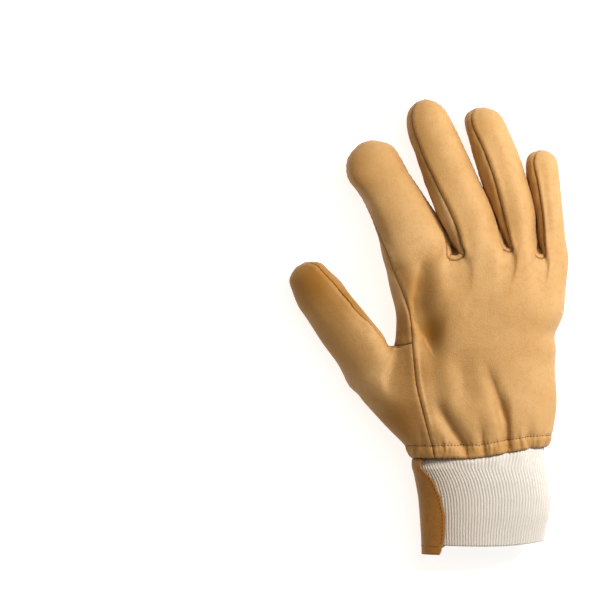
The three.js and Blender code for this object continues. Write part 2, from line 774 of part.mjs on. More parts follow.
// The wrist guard: an open leather sheet under the cuff and round its thumb side
function guardGeometry() {
  const columns = 22;
  const margin = cuffRibHeight + pieceGap + guardWall;
  const open = guardSections.map((section) => {
    return Array.from({ length: columns + 1 }, (_, i) => {
      const angle = mix(section.front, section.back, i / columns);
      const point = wristPoint(cuffSectionAt(section.y), margin, angle);
      const underneath = i > columns / 2 ? 1 : 0;
      const rise = guardEndRise * THREE.MathUtils.smoothstep(point.x, 0, guardEndSide) * underneath;
      return section === guardSections.at(-1) ? point.setY(section.y + rise) : point;
    });
  });
  const tucked = [0.85, tuckEnd, flareShare].map((share) => {
    const loop = inset(fromLeft(hemStation(share)), share > flareShare ? guardSeat : flareInset);
    return open[0].map((goal) => nearest(loop, goal));
  });
  const rows = [...tucked, ...open];
  const thin = rows.map((row) => row.map((point, i) => {
    const before = row[Math.max(i - 1, 0)];
    const after = row[Math.min(i + 1, row.length - 1)];
    const run = new THREE.Vector3(after.x - before.x, 0, after.z - before.z).normalize();
    return new THREE.Vector3(point.x - run.z * guardWall, point.y, point.z + run.x * guardWall);
  }));
  return sheetGeometry(rows, thin);
}

const leather = { color: 0xd6a462, roughness: 0.62, metalness: 0 };
const knit = { color: 0xded2c3, roughness: 0.95, metalness: 0 };
const fleece = { color: 0xc9c2b4, roughness: 1, metalness: 0 };

const glove = new THREE.Group();

function addPiece(name, geometry, look) {
  const mesh = new THREE.Mesh(geometry, new THREE.MeshStandardMaterial(look));
  mesh.name = name;
  glove.add(mesh);
}

for (const panel of new Set(faces.map((face) => face.panel))) {
  addPiece(panel, panelGeometry(panel), leather);
}
addPiece('wrist_guard', guardGeometry(), leather);
addPiece('knit_cuff', cuffGeometry(), knit);
addPiece('lining_edge', liningGeometry(), fleece);

// The origin is the middle of the glove's outline, on the surface that it lies on
const box = new THREE.Box3().setFromObject(glove);
const centre = box.getCenter(new THREE.Vector3());
glove.position.set(-centre.x, -centre.y, -box.min.z);
glove.updateMatrixWorld(true);

export default glove;
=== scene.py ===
import math
import random

import bpy
import numpy as np
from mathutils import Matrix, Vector, noise
from mathutils.kdtree import KDTree


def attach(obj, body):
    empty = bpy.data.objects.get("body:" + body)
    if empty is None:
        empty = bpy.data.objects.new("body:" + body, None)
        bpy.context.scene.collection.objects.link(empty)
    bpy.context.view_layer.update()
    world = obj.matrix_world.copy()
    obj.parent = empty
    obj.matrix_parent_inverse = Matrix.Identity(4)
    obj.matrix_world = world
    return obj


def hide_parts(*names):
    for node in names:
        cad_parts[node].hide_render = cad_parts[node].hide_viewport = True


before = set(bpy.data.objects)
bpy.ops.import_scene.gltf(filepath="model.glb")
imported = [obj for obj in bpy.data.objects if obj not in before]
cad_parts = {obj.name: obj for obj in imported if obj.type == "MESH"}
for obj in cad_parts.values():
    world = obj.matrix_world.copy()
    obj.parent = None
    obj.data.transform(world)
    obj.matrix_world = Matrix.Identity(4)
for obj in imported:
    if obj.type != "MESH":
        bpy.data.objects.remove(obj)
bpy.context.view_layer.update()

random.seed(7)
print("frame loaded")

# Sizes are in millimetres in the drawing's own frame. The shift moves them to the frame of the part.
glove = {
    "shift": (0.7399, -1.0206, 0.0061), "floorGap": 0.03,
    "columnsPerFinger": 6, "thumbRings": (4, 8), "subdivisions": 3, "fitRounds": 4, "fitShare": 0.9,
    "handSquareness": 2.6, "palmSquareness": 3.4, "fingerSquareness": 2.25, "wristSquareness": 2.35,
    "crotchDip": 5.5, "crotchColumns": 1.1, "crotchFade": 0.16, "crotchLead": 5, "crotchForward": 0.42,
    "palmDip": 2.2, "palmLead": 11, "leadFade": 0.45, "leadAtThumbSide": 0.3, "leadAtRight": 0.4,
    "evenBy": 0.5, "backInset": 2, "palmInset": 4.6, "palmStart": (9, 22), "palmStartFade": (0.3, 0.65),
    "tipShares": (0.42, 0.74, 0.96),
}

# x, y, z of the middle, width, depth, turn, then the angles of the four seams: back left, back right,
# palm left, palm right
fingers = {
    "index": {
        "knuckle": (-22.6, 10.4), "palmRoot": (-17.0, 13.4), "tip": (-39.0, 114.1, 11.5),
        "sections": [
            (-10.6, 52.5, 26.0, 41.0, 34.0, 24.5, 147, 14, 228, -48),
            (-18.0, 70.6, 22.3, 35.4, 32.0, 23.0, 172, -8, 232, -44),
            (-26.2, 85.4, 18.8, 32.8, 29.5, 21.5, 184, -8, 238, -40),
            (-33.6, 97.0, 14.6, 34.6, 27.4, 18.0, 188, -8, 240, -34),
        ],
        "front": "palm_panel",
    },
    "middle": {
        "knuckle": (20.4, 43.6), "palmRoot": (17.0, 44.9), "tip": (-5.6, 139.4, 10.8),
        "sections": [
            (22.9, 66.8, 28.5, 31.4, 34.0, 21.0, 123, -4, 228, -50),
            (14.8, 85.4, 25.0, 30.8, 32.0, 19.5, 126, -8, 225, -46),
            (7.6, 104.0, 20.6, 28.9, 29.0, 19.0, 137, -8, 220, -40),
            (0.5, 121.7, 14.6, 26.8, 27.0, 19.0, 140, -8, 212, -32),
        ],
        "front": "finger_front_middle",
    },
    "ring": {
        "knuckle": (49.3, 61.8), "palmRoot": (47.4, 64.2), "tip": (30.2, 135.0, 10.8),
        "sections": [
            (52.4, 67.8, 26.5, 23.4, 32.0, 15.5, 130, -4, 230, -50),
            (44.7, 90.4, 23.4, 26.4, 30.5, 14.5, 115, -8, 226, -46),
            (39.0, 109.2, 18.8, 26.0, 28.0, 12.0, 119, -8, 220, -40),
            (34.2, 123.6, 13.9, 23.4, 25.8, 9.0, 133, -8, 212, -32),
        ],
        "front": "finger_front_ring",
    },
    "little": {
        "knuckle": (69.2, 81.6), "palmRoot": (67.6, 79.0), "tip": (68.4, 109.0, 11.0),
        "sections": [
            (72.4, 69.8, 23.0, 17.0, 27.5, 5.0, 122, 18, 232, -52),
            (69.5, 88.6, 18.4, 19.4, 26.0, 4.0, 116, 15, 226, -48),
            (68.9, 99.4, 15.0, 19.0, 24.0, 2.0, 127, 12, 215, -40),
        ],
        "front": "palm_panel",
    },
}
fourchettes = ["fourchette_index_middle", "fourchette_middle_ring", "fourchette_ring_little"]

# x, y, z of the middle, width, depth, turn, angle of the seam at the crotch side
thumb = {
    "sections": [
        (-37.2, -23.2, 17.8, 34.4, 33.0, 47, 18),
        (-41.6, -14.4, 16.8, 33.0, 31.0, 37, 26),
        (-49.0, -4.7, 15.8, 32.2, 29.5, 35, 34),
        (-59.9, 10.0, 14.6, 30.6, 28.4, 34, 43),
        (-67.9, 21.6, 13.4, 29.8, 27.2, 31, 45),
        (-73.0, 29.3, 12.4, 25.6, 24.8, 29, 45),
    ],
    "tip": (-79.0, 39.0, 11.0), "lean": 0.36, "extraRows": (1, 0, 0, 1, 1),
}

# Rings from the knuckles to the hem: part, left, seam, right, top, middle, low, left squareness, sag
hand = {
    "rings": [
        (0.000, -26.6, -22.6, 84.2, 49.5, 21, 7.0, 2.6, 0.0),
        (0.100, -24.2, -18.0, 83.3, 51.0, 21, 6.0, 2.6, 0.0),
        (0.200, -21.4, -14.4, 82.0, 52.0, 21, 4.5, 2.5, 0.5),
        (0.300, -20.7, -12.2, 80.7, 52.2, 20, 3.2, 2.4, 1.6),
        (0.390, -22.2, -11.6, 76.0, 51.6, 20, 2.2, 2.3, 2.6),
        (0.466, -27.0, -10.6, 76.8, 51.0, 19, 1.2, 2.1, 1.0),
        (0.543, -32.4, -9.8, 76.2, 50.4, 18, 0.4, 1.95, 0.0),
        (0.620, -37.4, -8.6, 76.2, 49.8, 18, -0.4, 1.8, 0.0),
        (0.696, -40.6, -6.7, 76.9, 49.0, 18, -1.0, 1.7, 0.0),
        (0.775, -32.2, -4.3, 77.0, 48.0, 18, -1.4, 1.75, 0.0),
        (0.855, -24.0, -1.8, 75.9, 46.6, 19, -1.4, 1.9, 0.0),
        (0.934, -15.4, 0.6, 74.2, 44.6, 20, -1.2, 2.1, 0.0),
        (1.000, -12.4, 2.4, 71.9, 43.6, 20, -1.2, 2.2, 0.0),
    ],
    "knuckleLine": [(-27, 33.0), (15.2, 41.2), (46.1, 46.6), (65.9, 42.4), (84, 38.5)],
    "hemLine": [(-13, -79.3), (30, -78.6), (47, -75.6), (60, -73.4), (72, -72.6)],
}

# Valleys of the back: from x, y, to x, y, half width, depth
cageFolds = [
    (4.3, -48.8, 20.7, -73.0, 4.5, 2.8),
    (34.2, -26.2, 42.5, -47.0, 4.0, 1.8),
    (42.5, -47.0, 46.7, -74.0, 3.6, 2.6),
    (59.2, -60.0, 61.8, -75.0, 3.0, 1.8),
    (-6.2, -60.0, -4.0, -76.0, 3.0, 1.4),
    (30.0, -62.0, 31.0, -77.0, 3.0, 1.4),
    (18.3, -22.0, 20.0, -38.0, 9.0, 2.0),
    (-4.9, 38.4, -6.3, 16.0, 6.0, 2.6),
    (-1.0, 6.0, -2.5, -8.0, 8.0, 4.4),
    (-0.5, -12.0, 4.0, -44.0, 7.0, 1.6),
]


def mix(a, b, t):
    return a + (b - a) * t


def smooth(value, low, high):
    t = np.clip((value - low) / (high - low), 0, 1)
    return t * t * (3 - 2 * t)


def power(value, exponent):
    return np.copysign(np.abs(value) ** exponent, value)


def bump(value, at, width):
    return np.exp(-(((value - at) / width) ** 2))


def sizes(vectors):
    return np.linalg.norm(vectors, axis=-1)


def unit(vectors):
    return vectors / np.maximum(sizes(vectors), 1e-9)[..., None]


def awayFrom(coords, places):
    return sizes(coords[:, None] - places)


def evened(points, rounds):
    points = points.copy()
    for _ in range(rounds):
        points[1:-1] = (points[:-2] + 2 * points[1:-1] + points[2:]) / 4
    return points


def sampled(points, at, goal):
    return np.stack([np.interp(goal, at, points[:, k]) for k in range(3)], -1)


def arcLengths(coords):
    return np.concatenate([[0], np.cumsum(sizes(np.diff(coords, axis=0)))])


def along(line, x):
    return float(np.interp(x, *zip(*line)))


# How far places are from a straight line, how far along it, and above zero on its right side as it runs
def besideLine(x, y, fromX, fromY, toX, toY):
    runX, runY = toX - fromX, toY - fromY
    awayX, awayY = x - fromX, y - fromY
    share = np.clip((awayX * runX + awayY * runY) / (runX ** 2 + runY ** 2), 0, 1)
    return np.hypot(awayX - share * runX, awayY - share * runY), share, awayX * runY - awayY * runX


def foldDepth(x, y):
    return sum(deep * bump(besideLine(x, y, *ends)[0], 0, width) for *ends, width, deep in cageFolds)


# The leather surface as a cage of rings that follow the seams
cagePoints = []
cageFaces = []
cagePanels = []
perFinger = glove["columnsPerFinger"]


def addPoint(x, y, z):
    cagePoints.append(Vector((x, y, max(z, 0))))
    return len(cagePoints) - 1


def addFace(panel, *corners):
    cageFaces.append(tuple(reversed(corners)))
    cagePanels.append(panel)


def joinLoops(near, far, panelAt):
    for i in range(len(near)):
        j = (i + 1) % len(near)
        addFace(panelAt(i), near[i], near[j], far[j], far[i])


def columnShares(key):
    across = [mix(*finger[key], i / perFinger) for finger in fingers.values() for i in range(perFinger + 1)]
    return [(x - across[0]) / (across[-1] - across[0]) for x in across]


backShares = columnShares("knuckle")
palmShares = columnShares("palmRoot")
lastColumn = len(backShares) - 1


def atCrotch(column):
    middles = [k * (perFinger + 1) - 0.5 for k in range(1, len(fingers))]
    return max(bump(column, middle, glove["crotchColumns"]) for middle in middles)


def handRing(row):
    part, left, seam, right, top, middle, low, leftShape, sag = row
    middleX, half = (left + right) / 2, (right - left) / 2
    palmShape = glove["palmSquareness"]

    def height(x, upper):
        offset = np.clip((x - middleX) / half, -1, 1)
        shape = (leftShape if offset < 0 else glove["handSquareness"]) if upper else palmShape
        return mix(middle, top if upper else low, (1 - abs(offset) ** shape) ** (1 / shape))

    def runY(x):
        return mix(along(hand["knuckleLine"], x), along(hand["hemLine"], x), part)

    def sideAngle(x, shape):
        return math.acos(abs((x - middleX) / half) ** (shape / 2))

    even = smooth(part, 0, glove["evenBy"])
    lead = glove["palmLead"] * (1 - smooth(part, 0, glove["leadFade"]))
    nearCrotch = 1 - smooth(part, 0, glove["crotchFade"])
    back, palm, side = [], [], []
    for i, share in enumerate(backShares):
        x = mix(seam, right - glove["backInset"], mix(share, i / lastColumn, even))
        dip = glove["crotchDip"] * nearCrotch * atCrotch(i)
        back.append(addPoint(x, runY(x), height(x, True) - dip - foldDepth(x, runY(x))))
    palmLeft = left + mix(*glove["palmStart"], smooth(part, *glove["palmStartFade"]))
    for i, share in enumerate(palmShares):
        x = mix(palmLeft, right - glove["palmInset"], mix(share, i / lastColumn, even))
        gathered = nearCrotch * atCrotch(i)
        ahead = lead * mix(glove["leadAtThumbSide"], 1, smooth(i, 0, perFinger))
        ahead += glove["crotchLead"] * gathered
        palm.append(addPoint(x, runY(x) + ahead, height(x, False) + glove["palmDip"] * gathered))
    rightPoint = addPoint(right, runY(right) + lead * glove["leadAtRight"], middle)
    seamAngle, palmAngle = sideAngle(seam, leftShape), sideAngle(palmLeft, palmShape)
    for step in (2, 1, 0, -1, -2):
        angle = (seamAngle if step > 0 else palmAngle) * step / 3
        shape = leftShape if step > 0 else mix(leftShape, palmShape, -step / 3)
        x = middleX - half * math.cos(angle) ** (2 / shape)
        tall = top - middle if step > 0 else middle - low
        ahead = lead * glove["leadAtThumbSide"] * (2 - step) / 5 - sag * (1 - abs(step) / 3)
        side.append(addPoint(x, runY(x) + ahead, middle + tall * power(math.sin(angle), 2 / shape)))
    return {"back": back, "palm": palm, "right": rightPoint, "left": side}


def handPanel(row, column, side):
    if column <= lastColumn + 1:
        return "back_panel"
    if side <= 0 or row < glove["thumbRings"][0]:
        return "palm_panel"
    return "thumb_back"


rings = [handRing(row) for row in hand["rings"]]
loops = [r["back"] + [r["right"]] + r["palm"][::-1] + r["left"][::-1] for r in rings]
sideStart = 2 * (lastColumn + 1)
firstThumb, lastThumb = glove["thumbRings"]
for row, (near, far) in enumerate(zip(loops, loops[1:])):
    for i in range(len(near)):
        j = (i + 1) % len(near)
        side = i - sideStart
        if not (firstThumb <= row < lastThumb and 1 <= side <= 4):
            addFace(handPanel(row, i, side), near[i], near[j], far[j], far[i])


def sectionPoint(section, angle, lean=0.0):
    x, y, z, width, depth, turn = section[:6]
    a, t = math.radians(angle), math.radians(turn)
    across = power(math.cos(a), 2 / glove["fingerSquareness"]) * width / 2
    up = power(math.sin(a), 2 / glove["fingerSquareness"]) * depth / 2
    up += lean * across * smooth(up, -depth / 2, depth / 2)
    return Vector((x + across * math.cos(t), y + across * math.sin(t), max(z + up, 0)))


def withTip(part):
    last, sections = part["sections"][-1], list(part["sections"])
    for share in glove["tipShares"]:
        scale = math.sqrt(1 - share * share)
        middle = [mix(last[k], part["tip"][k], share) for k in range(3)]
        sections.append((*middle, last[3] * scale, last[4] * scale, *last[5:]))
    return sections


def curve(a, b, c, d, t):
    bend, twist = 2 * a - 5 * b + 4 * c - d, 3 * b - a - 3 * c + d
    return 0.5 * (2 * b + (c - a) * t + bend * t * t + twist * t ** 3)


# Rows of new points between the rows, and the places of all rows after the root in the list of points
def refine(root, shapes, counts):
    rows, result = [[cagePoints[i] for i in root], *shapes], []
    for k, row in enumerate(rows[:-1]):
        result.append(row)
        count = counts[k] if k < len(counts) else 0
        before, after = rows[max(k - 1, 0)], rows[min(k + 2, len(rows) - 1)]
        for step in range(1, count + 1):
            t = step / (count + 1)
            result.append([curve(*four, t) for four in zip(before, row, rows[k + 1], after)])
    return [root] + [[addPoint(*p) for p in row] for row in (*result[1:], rows[-1])]


def closeSide(corners, panel):
    ring = list(corners)
    while len(ring) > 3:
        addFace(panel, ring[-1], ring[-2], ring[1], ring[0])
        ring = ring[1:-1]
    if len(ring) == 3:
        addFace(panel, ring[2], ring[1], ring[0])


# The small face at the end of a finger: its upper and lower panel, its middle and the way up
caps = {}


def addCap(upper, lower, ring, upward):
    name = "cap" + str(len(caps))
    caps[name] = (upper, lower, np.mean([cagePoints[i] for i in ring], axis=0), np.array(upward))
    return name


def crotchPoint(k, atRight):
    column = k * (perFinger + 1) + (perFinger if atRight else 0)
    upper, under = (cagePoints[rings[0][side][column]] for side in ("back", "palm"))
    shares = (0.5, glove["crotchForward"], 0.5)
    return addPoint(*(mix(upper[axis], under[axis], shares[axis]) for axis in range(3)))


def buildFinger(finger, k):
    first = k * (perFinger + 1)
    last = first + perFinger
    leftSide = rings[0]["left"][::-1] if k == 0 else [crotchPoint(k, False)]
    rightSide = rings[0]["right"] if k == len(fingers) - 1 else crotchPoint(k, True)
    root = rings[0]["back"][first:last + 1] + [rightSide] + rings[0]["palm"][first:last + 1][::-1] + leftSide
    shapes = []
    steps = [i / perFinger for i in range(perFinger + 1)]
    leftSteps = [(i + 1) / (len(leftSide) + 1) for i in range(len(leftSide))]
    for section in withTip(finger):
        backLeft, backRight, palmLeft, palmRight = section[6:]
        angles = [mix(backLeft, backRight, t) for t in steps] + [(backRight + palmRight) / 2]
        angles += [mix(palmLeft, 360 + palmRight, t) for t in steps[::-1]]
        angles += [mix(palmLeft, backLeft, t) for t in leftSteps]
        shapes.append([sectionPoint(section, angle) for angle in angles])
    made = refine(root, shapes, [2] + [1] * (len(finger["sections"]) - 1))
    front, leftPanel = finger["front"], fourchettes[k - 1] if k else "palm_panel"
    rightPanel = [*fourchettes, "back_panel"][k]

    def panelAt(i):
        if i < perFinger:
            return "back_panel"
        if i < perFinger + 2:
            return rightPanel
        return front if i < 2 * perFinger + 2 else leftPanel

    for near, far in zip(made[1:], made):
        joinLoops(near, far, panelAt)
    end, frontFirst = made[-1], perFinger + 2
    cap = addCap("back_panel", front, end, (0, 0, 1))
    for i in range(perFinger):
        a = frontFirst + perFinger - i
        addFace(cap, end[i + 1], end[i], end[a], end[a - 1])
    addFace(cap, end[perFinger], end[frontFirst], end[perFinger + 1])
    closeSide(end[frontFirst + perFinger:] + end[:1], cap)
    return leftSide[0], rightSide


def buildThumb():
    rows = rings[firstThumb:lastThumb + 1]
    root = [r["left"][0] for r in rows] + rows[-1]["left"][1:4]
    root += [r["left"][4] for r in rows][::-1] + rows[0]["left"][1:4][::-1]
    turns, shapes = [i * 360 / len(root) for i in range(len(root))], []
    for section in withTip(thumb):
        shapes.append([sectionPoint(section, section[6] + turn, thumb["lean"]) for turn in turns])
    made = refine(root, shapes, thumb["extraRows"])
    for near, far in zip(made, made[1:]):
        joinLoops(near, far, lambda i: "thumb_back" if i < len(root) / 2 else "thumb_front")
    end, last = made[-1], thumb["sections"][-1]
    turn, corner = math.radians(last[5]), math.radians(last[6] + 90)
    upward = (math.cos(corner) * math.cos(turn), math.cos(corner) * math.sin(turn), math.sin(corner))
    cap = addCap("thumb_back", "thumb_front", end, upward)
    for i in range(4):
        addFace(cap, end[i], end[i + 1], end[11 - i], end[12 - i])
    closeSide(end[4:9][::-1], cap)
    closeSide((end[12:] + end[:1])[::-1], cap)


roots = [buildFinger(finger, k) for k, finger in enumerate(fingers.values())]
for k, panel in enumerate(fourchettes):
    near = k * (perFinger + 1) + perFinger
    nearSide, farSide = roots[k][1], roots[k + 1][0]
    addFace(panel, rings[0]["back"][near], nearSide, farSide, rings[0]["back"][near + 1])
    addFace(panel, nearSide, rings[0]["palm"][near], rings[0]["palm"][near + 1], farSide)
buildThumb()
panelNames = sorted(set(cagePanels))
print("cage made:", len(cagePoints), "points,", len(cageFaces), "faces")


def newObject(name, data):
    made = bpy.data.objects.new(name, data)
    bpy.context.scene.collection.objects.link(made)
    return made


def subdivided(coords, levels):
    mesh = bpy.data.meshes.new("cage")
    mesh.from_pydata(coords.tolist(), [], cageFaces)
    panel = mesh.attributes.new("panel", "INT", "FACE")
    panel.data.foreach_set("value", [panelNames.index(name) for name in cagePanels])
    cage = newObject("cage", mesh)
    modifier = cage.modifiers.new("smooth", "SUBSURF")
    modifier.levels = modifier.render_levels = levels
    result = bpy.data.meshes.new_from_object(cage.evaluated_get(bpy.context.evaluated_depsgraph_get()))
    bpy.data.objects.remove(cage)
    return result


def coordsOf(mesh):
    return np.array([vertex.co[:] for vertex in mesh.vertices])


target = np.array([p[:] for p in cagePoints])
fitted = target.copy()
for _ in range(glove["fitRounds"]):  # the smooth surface is to pass through the drawn points
    fitted += glove["fitShare"] * (target - coordsOf(subdivided(fitted, 1))[:len(target)])
surface = subdivided(fitted, glove["subdivisions"])
leatherPoints = coordsOf(surface)
leatherQuads = np.array([tuple(p.vertices) for p in surface.polygons])
leatherPanels = np.array([entry.value for entry in surface.attributes["panel"].data])
faceCentres = leatherPoints[leatherQuads].mean(axis=1)
for name, (upper, lower, middle, upward) in caps.items():
    onCap = leatherPanels == panelNames.index(name)
    above = (faceCentres - middle) @ upward > 0
    leatherPanels[onCap & above] = panelNames.index(upper)
    leatherPanels[onCap & ~above] = panelNames.index(lower)
print("leather surface:", len(leatherPoints), "points")


def faceDirections():
    a, b, c, d = (leatherPoints[leatherQuads[:, k]] for k in range(4))
    return np.cross(c - a, d - b)


def toCorners(faceVectors):
    total = np.zeros_like(leatherPoints)
    for k in range(4):
        np.add.at(total, leatherQuads[:, k], faceVectors)
    return unit(total)


def onPanels(*panels):
    faces = np.isin(leatherPanels, [panelNames.index(panel) for panel in panels])
    return np.isin(np.arange(len(leatherPoints)), leatherQuads[faces])


# Seams are the edges where two panels meet, the hem is the open edge
edgeFaces = {}
for face, quad in enumerate(leatherQuads.tolist()):
    for a, b in zip(quad, quad[1:] + quad[:1]):
        edgeFaces.setdefault((min(a, b), max(a, b)), []).append(face)
seamLinks, hemLinks = {}, {}
for (a, b), own in edgeFaces.items():
    if len(own) == 1 or leatherPanels[own[0]] != leatherPanels[own[1]]:
        links = hemLinks if len(own) == 1 else seamLinks
        links.setdefault(a, []).append(b)
        links.setdefault(b, []).append(a)


def traceLines(links):
    lines, used = [], set()
    starts = [v for v, n in links.items() if len(n) != 2] + list(links)
    for start in starts:
        for following in links[start]:
            if (start, following) in used:
                continue
            line = [start, following]
            while len(links[line[-1]]) == 2 and line[-1] != start:
                a, b = links[line[-1]]
                line.append(b if a == line[-2] else a)
            for a, b in zip(line, line[1:]):
                used.update({(a, b), (b, a)})
            lines.append(line)
    return lines


def nearestOn(lines, coords):
    owners = np.concatenate([np.array(line) for line in lines])
    arcs = np.concatenate([arcLengths(leatherPoints[line]) for line in lines])
    tree = KDTree(len(owners))
    for i, v in enumerate(owners):
        tree.insert(leatherPoints[v], i)
    tree.balance()
    found = [tree.find(p) for p in coords]
    index = np.array([f[1] for f in found])
    return np.array([f[2] for f in found]), arcs[index], owners[index]


# The seams become round and a little wider between the fingers, and even at the tips
seamShape = {
    "rounds": 40, "reach": 7.0, "tipRounds": 13, "tipReach": 12.0, "spread": 2.6,
    "wider": (1.1, 0.9, 0.7), "widerReach": 6.5,
}
seamLines = traceLines(seamLinks)
hemLine = max(traceLines(hemLinks), key=len)
besideCrotches = [k * (perFinger + 1) + side for k in range(1, len(fingers)) for side in (-1, 0)]
crotches = np.array([cagePoints[rings[0]["back"][column]][:] for column in besideCrotches])
tips = np.array([finger["tip"] for finger in (*fingers.values(), thumb)])
seamMoves = np.zeros_like(leatherPoints)
for line in seamLines:
    seam = leatherPoints[line]
    move = np.zeros_like(seam)
    for places, rounds, reach in ((crotches, "rounds", "reach"), (tips, "tipRounds", "tipReach")):
        near = bump(awayFrom(seam, places).min(axis=1), 0, seamShape[reach])
        move += (evened(seam, seamShape[rounds]) - seam) * near[:, None]
    for k, wider in enumerate(seamShape["wider"]):
        left, right = crotches[2 * k:2 * k + 2]
        across = unit(right - left)
        place = (seam - (left + right) / 2) @ across / (sizes(right - left) / 2)
        near = bump(awayFrom(seam, crotches[2 * k:2 * k + 2]).min(axis=1), 0, seamShape["widerReach"])
        move += (wider * np.clip(place, -1, 1) * near)[:, None] * across
    seamMoves[line] = move
seamAway, _, seamOwner = nearestOn(seamLines, leatherPoints)
leatherPoints += seamMoves[seamOwner] * bump(seamAway, 0, seamShape["spread"])[:, None]
seamAway, seamArc, _ = nearestOn(seamLines, leatherPoints)
hemAway, hemArc, hemOwner = nearestOn([hemLine], leatherPoints)
leatherNormals = toCorners(faceDirections())
print("seams:", len(seamLines), "lines")

# What shapes the leather after it is drawn. Three numbers are an amount, its distance from the seam, the hem
# or the gap between two fingers, and its width, but crotchLips has an amount for each gap and the stretch is
# along x, y and z. The hem's waves have a step along it, how far they bend, the scale and seed of the bends,
# then their mean height with its scale and seed. A noise has a scale and a seed.
relief = {
    "groove": (-0.45, 0, 0.6), "lip": (0.3, 2.4, 1.6), "pucker": (0.12, 1.2, 3.5), "puckerPitch": 4.2,
    "puckerBend": 3, "puckerNoise": (0.1, 5), "atTips": 0.2, "tipReach": (3, 14),
    "hemGroove": (-0.55, 8.0, 0.9), "hemPuff": (0.4, 4.0, 3.0), "hemPucker": (0.4, 7, 6),
    # The hem's tone on the next line is painted shade in the valleys of the hem's waves, and the crotch's
    # tone is how far the painted shade fades near the crotches
    "hemRipple": (0.2, 5.5, 4), "hemPaintedShade": (0.4, 3.5, 4), "crotchPaintedShadeFade": (0.9, 0, 13),
    "hemWaves": (1.1, 4, 0.08, 9, 0.5, 0.15, 3), "hemRipples": (0.46, 3, 0.2, 21, 0.7, 0.12, 23),
    "hemRound": 0.5, "hemRoundFrom": 1.6, "ragged": (0.5, 0, 1.2), "raggedNoise": (0.9, 17),
    "wrinkle": 0.3, "wrinkleNoise": (0.075, 1), "creaseFade": ([0, 0.5], [0.1, 1]), "creaseSide": 2,
    "creaseFacing": 0.4, "softRounds": 6, "floor": 0.05,
    "crotchLip": (1, 2.4, 1.8), "crotchLipReach": 12, "crotchLips": (2.8, 1.4, 1.7), "handLip": 0.5,
    "sideBulge": (0.8, 0, 4), "crotchBulge": (2.2, 18, 10),
    "sideWrinkle": 0.5, "sideWrinkleNoise": (0.22, 13), "sideWrinkleStretch": (1, 0.45, 1),
}


def band(key, away):
    amount, at, width = relief[key]
    return amount * bump(away, at, width)


def noiseAt(coords, scale, seed):
    return np.array([noise.noise(Vector(p) * scale + Vector((seed, 0, 0))) for p in coords])


def hemWave(step, bend, bendScale, bendSeed, mean, meanScale, meanSeed):
    turned = hemArc / step + bend * noiseAt(leatherPoints, bendScale, bendSeed)
    return np.sin(turned) * (mean + noiseAt(leatherPoints, meanScale, meanSeed))


# Creases of the back and the thumb: half width to the right of the line as it runs, to its left, depth or,
# below zero, height, then the points of the line
creases = [
    (3.6, 1.6, 1.6, [(33.0, -22.2), (40.3, -41.5), (45.4, -56.1), (46.7, -72.2)]),
    (3.2, 2.2, 1.4, [(2.3, -44.8), (12.0, -61.0), (20.7, -73.6)]),
    (1.8, 1.4, 0.9, [(59.2, -60.2), (61.6, -74.8)]),
    (4.0, 2.6, 0.5, [(16.4, -20.0), (18.4, -27.0), (19.4, -36.0)]),
    (1.8, 8.0, 2.4, [(-5.0, 41.0), (-8.0, 29.0), (-11.0, 17.0), (-10.5, 5.0), (-5.0, -5.0)]),
    (3.2, 3.2, -1.3, [(-53.0, 24.0), (-50.0, 20.0), (-48.0, 17.0)]),
    (3.2, 3.2, -1.3, [(-40.0, 8.0), (-37.5, 4.5), (-35.5, 1.5)]),
    (1.4, 1.2, 0.6, [(-6.2, -58.0), (-4.4, -74.0)]),
    (1.6, 1.2, 0.6, [(30.5, -60.0), (31.4, -75.0)]),
    (1.4, 1.0, 0.5, [(10.5, -64.0), (11.0, -75.0)]),
    (1.3, 1.0, 0.5, [(53.0, -62.0), (54.5, -75.0)]),
    (0.9, 0.7, 0.3, [(-25.5, -12.5), (-31.0, -17.0), (-39.0, -20.5)]),
    (0.9, 0.7, 0.3, [(-24.0, -14.5), (-28.0, -20.5), (-34.5, -26.5)]),
    (0.8, 0.6, 0.25, [(-22.5, -16.5), (-25.0, -23.0), (-29.5, -31.0)]),
    (0.8, 0.6, 0.25, [(-27.0, -10.5), (-34.0, -13.0), (-42.0, -14.0)]),
    (1.0, 0.8, 0.3, [(-20.0, 24.0), (-15.5, 17.0), (-12.5, 8.0)]),
    (0.8, 0.7, 0.25, [(66.0, 94.0), (70.0, 95.5), (75.0, 95.0)]),
    (0.8, 0.7, 0.25, [(65.5, 90.0), (70.0, 91.0), (76.0, 90.2)]),
]

# The same for the palm side
palmCreases = [
    (2.0, 1.4, 0.9, [(-26.0, 33.0), (-12.0, 36.0), (2.0, 41.0), (12.0, 45.0)]),
    (1.8, 1.3, 0.8, [(88.0, 26.0), (80.0, 31.0), (72.0, 37.0)]),
    (1.2, 1.0, 0.35, [(-40.0, 66.0), (-30.0, 69.0), (-18.0, 70.0)]),
    (1.2, 1.0, 0.35, [(-46.0, 84.0), (-36.0, 88.0), (-24.0, 88.0)]),
    (6.0, 6.0, 1.2, [(-10.0, 30.0), (8.0, 6.0), (24.0, -22.0), (32.0, -52.0)]),
    (6.0, 5.0, 1.0, [(78.0, 14.0), (52.0, 4.0), (30.0, -8.0)]),
]


def creaseDepth(lines):
    depth = 0
    for rightWidth, leftWidth, deep, line in lines:
        pieces = [besideLine(*leatherPoints[:, :2].T, *start, *end) for start, end in zip(line, line[1:])]
        away, share, rightward = (np.array(values) for values in zip(*pieces))
        nearest = away.argmin(axis=0), np.arange(len(leatherPoints))
        width = np.where(rightward[nearest] > 0, rightWidth, leftWidth)
        reached = (nearest[0] + share[nearest]) / len(pieces)
        depth += deep * bump(away[nearest], 0, width) * np.interp(reached, *relief["creaseFade"])
    return depth
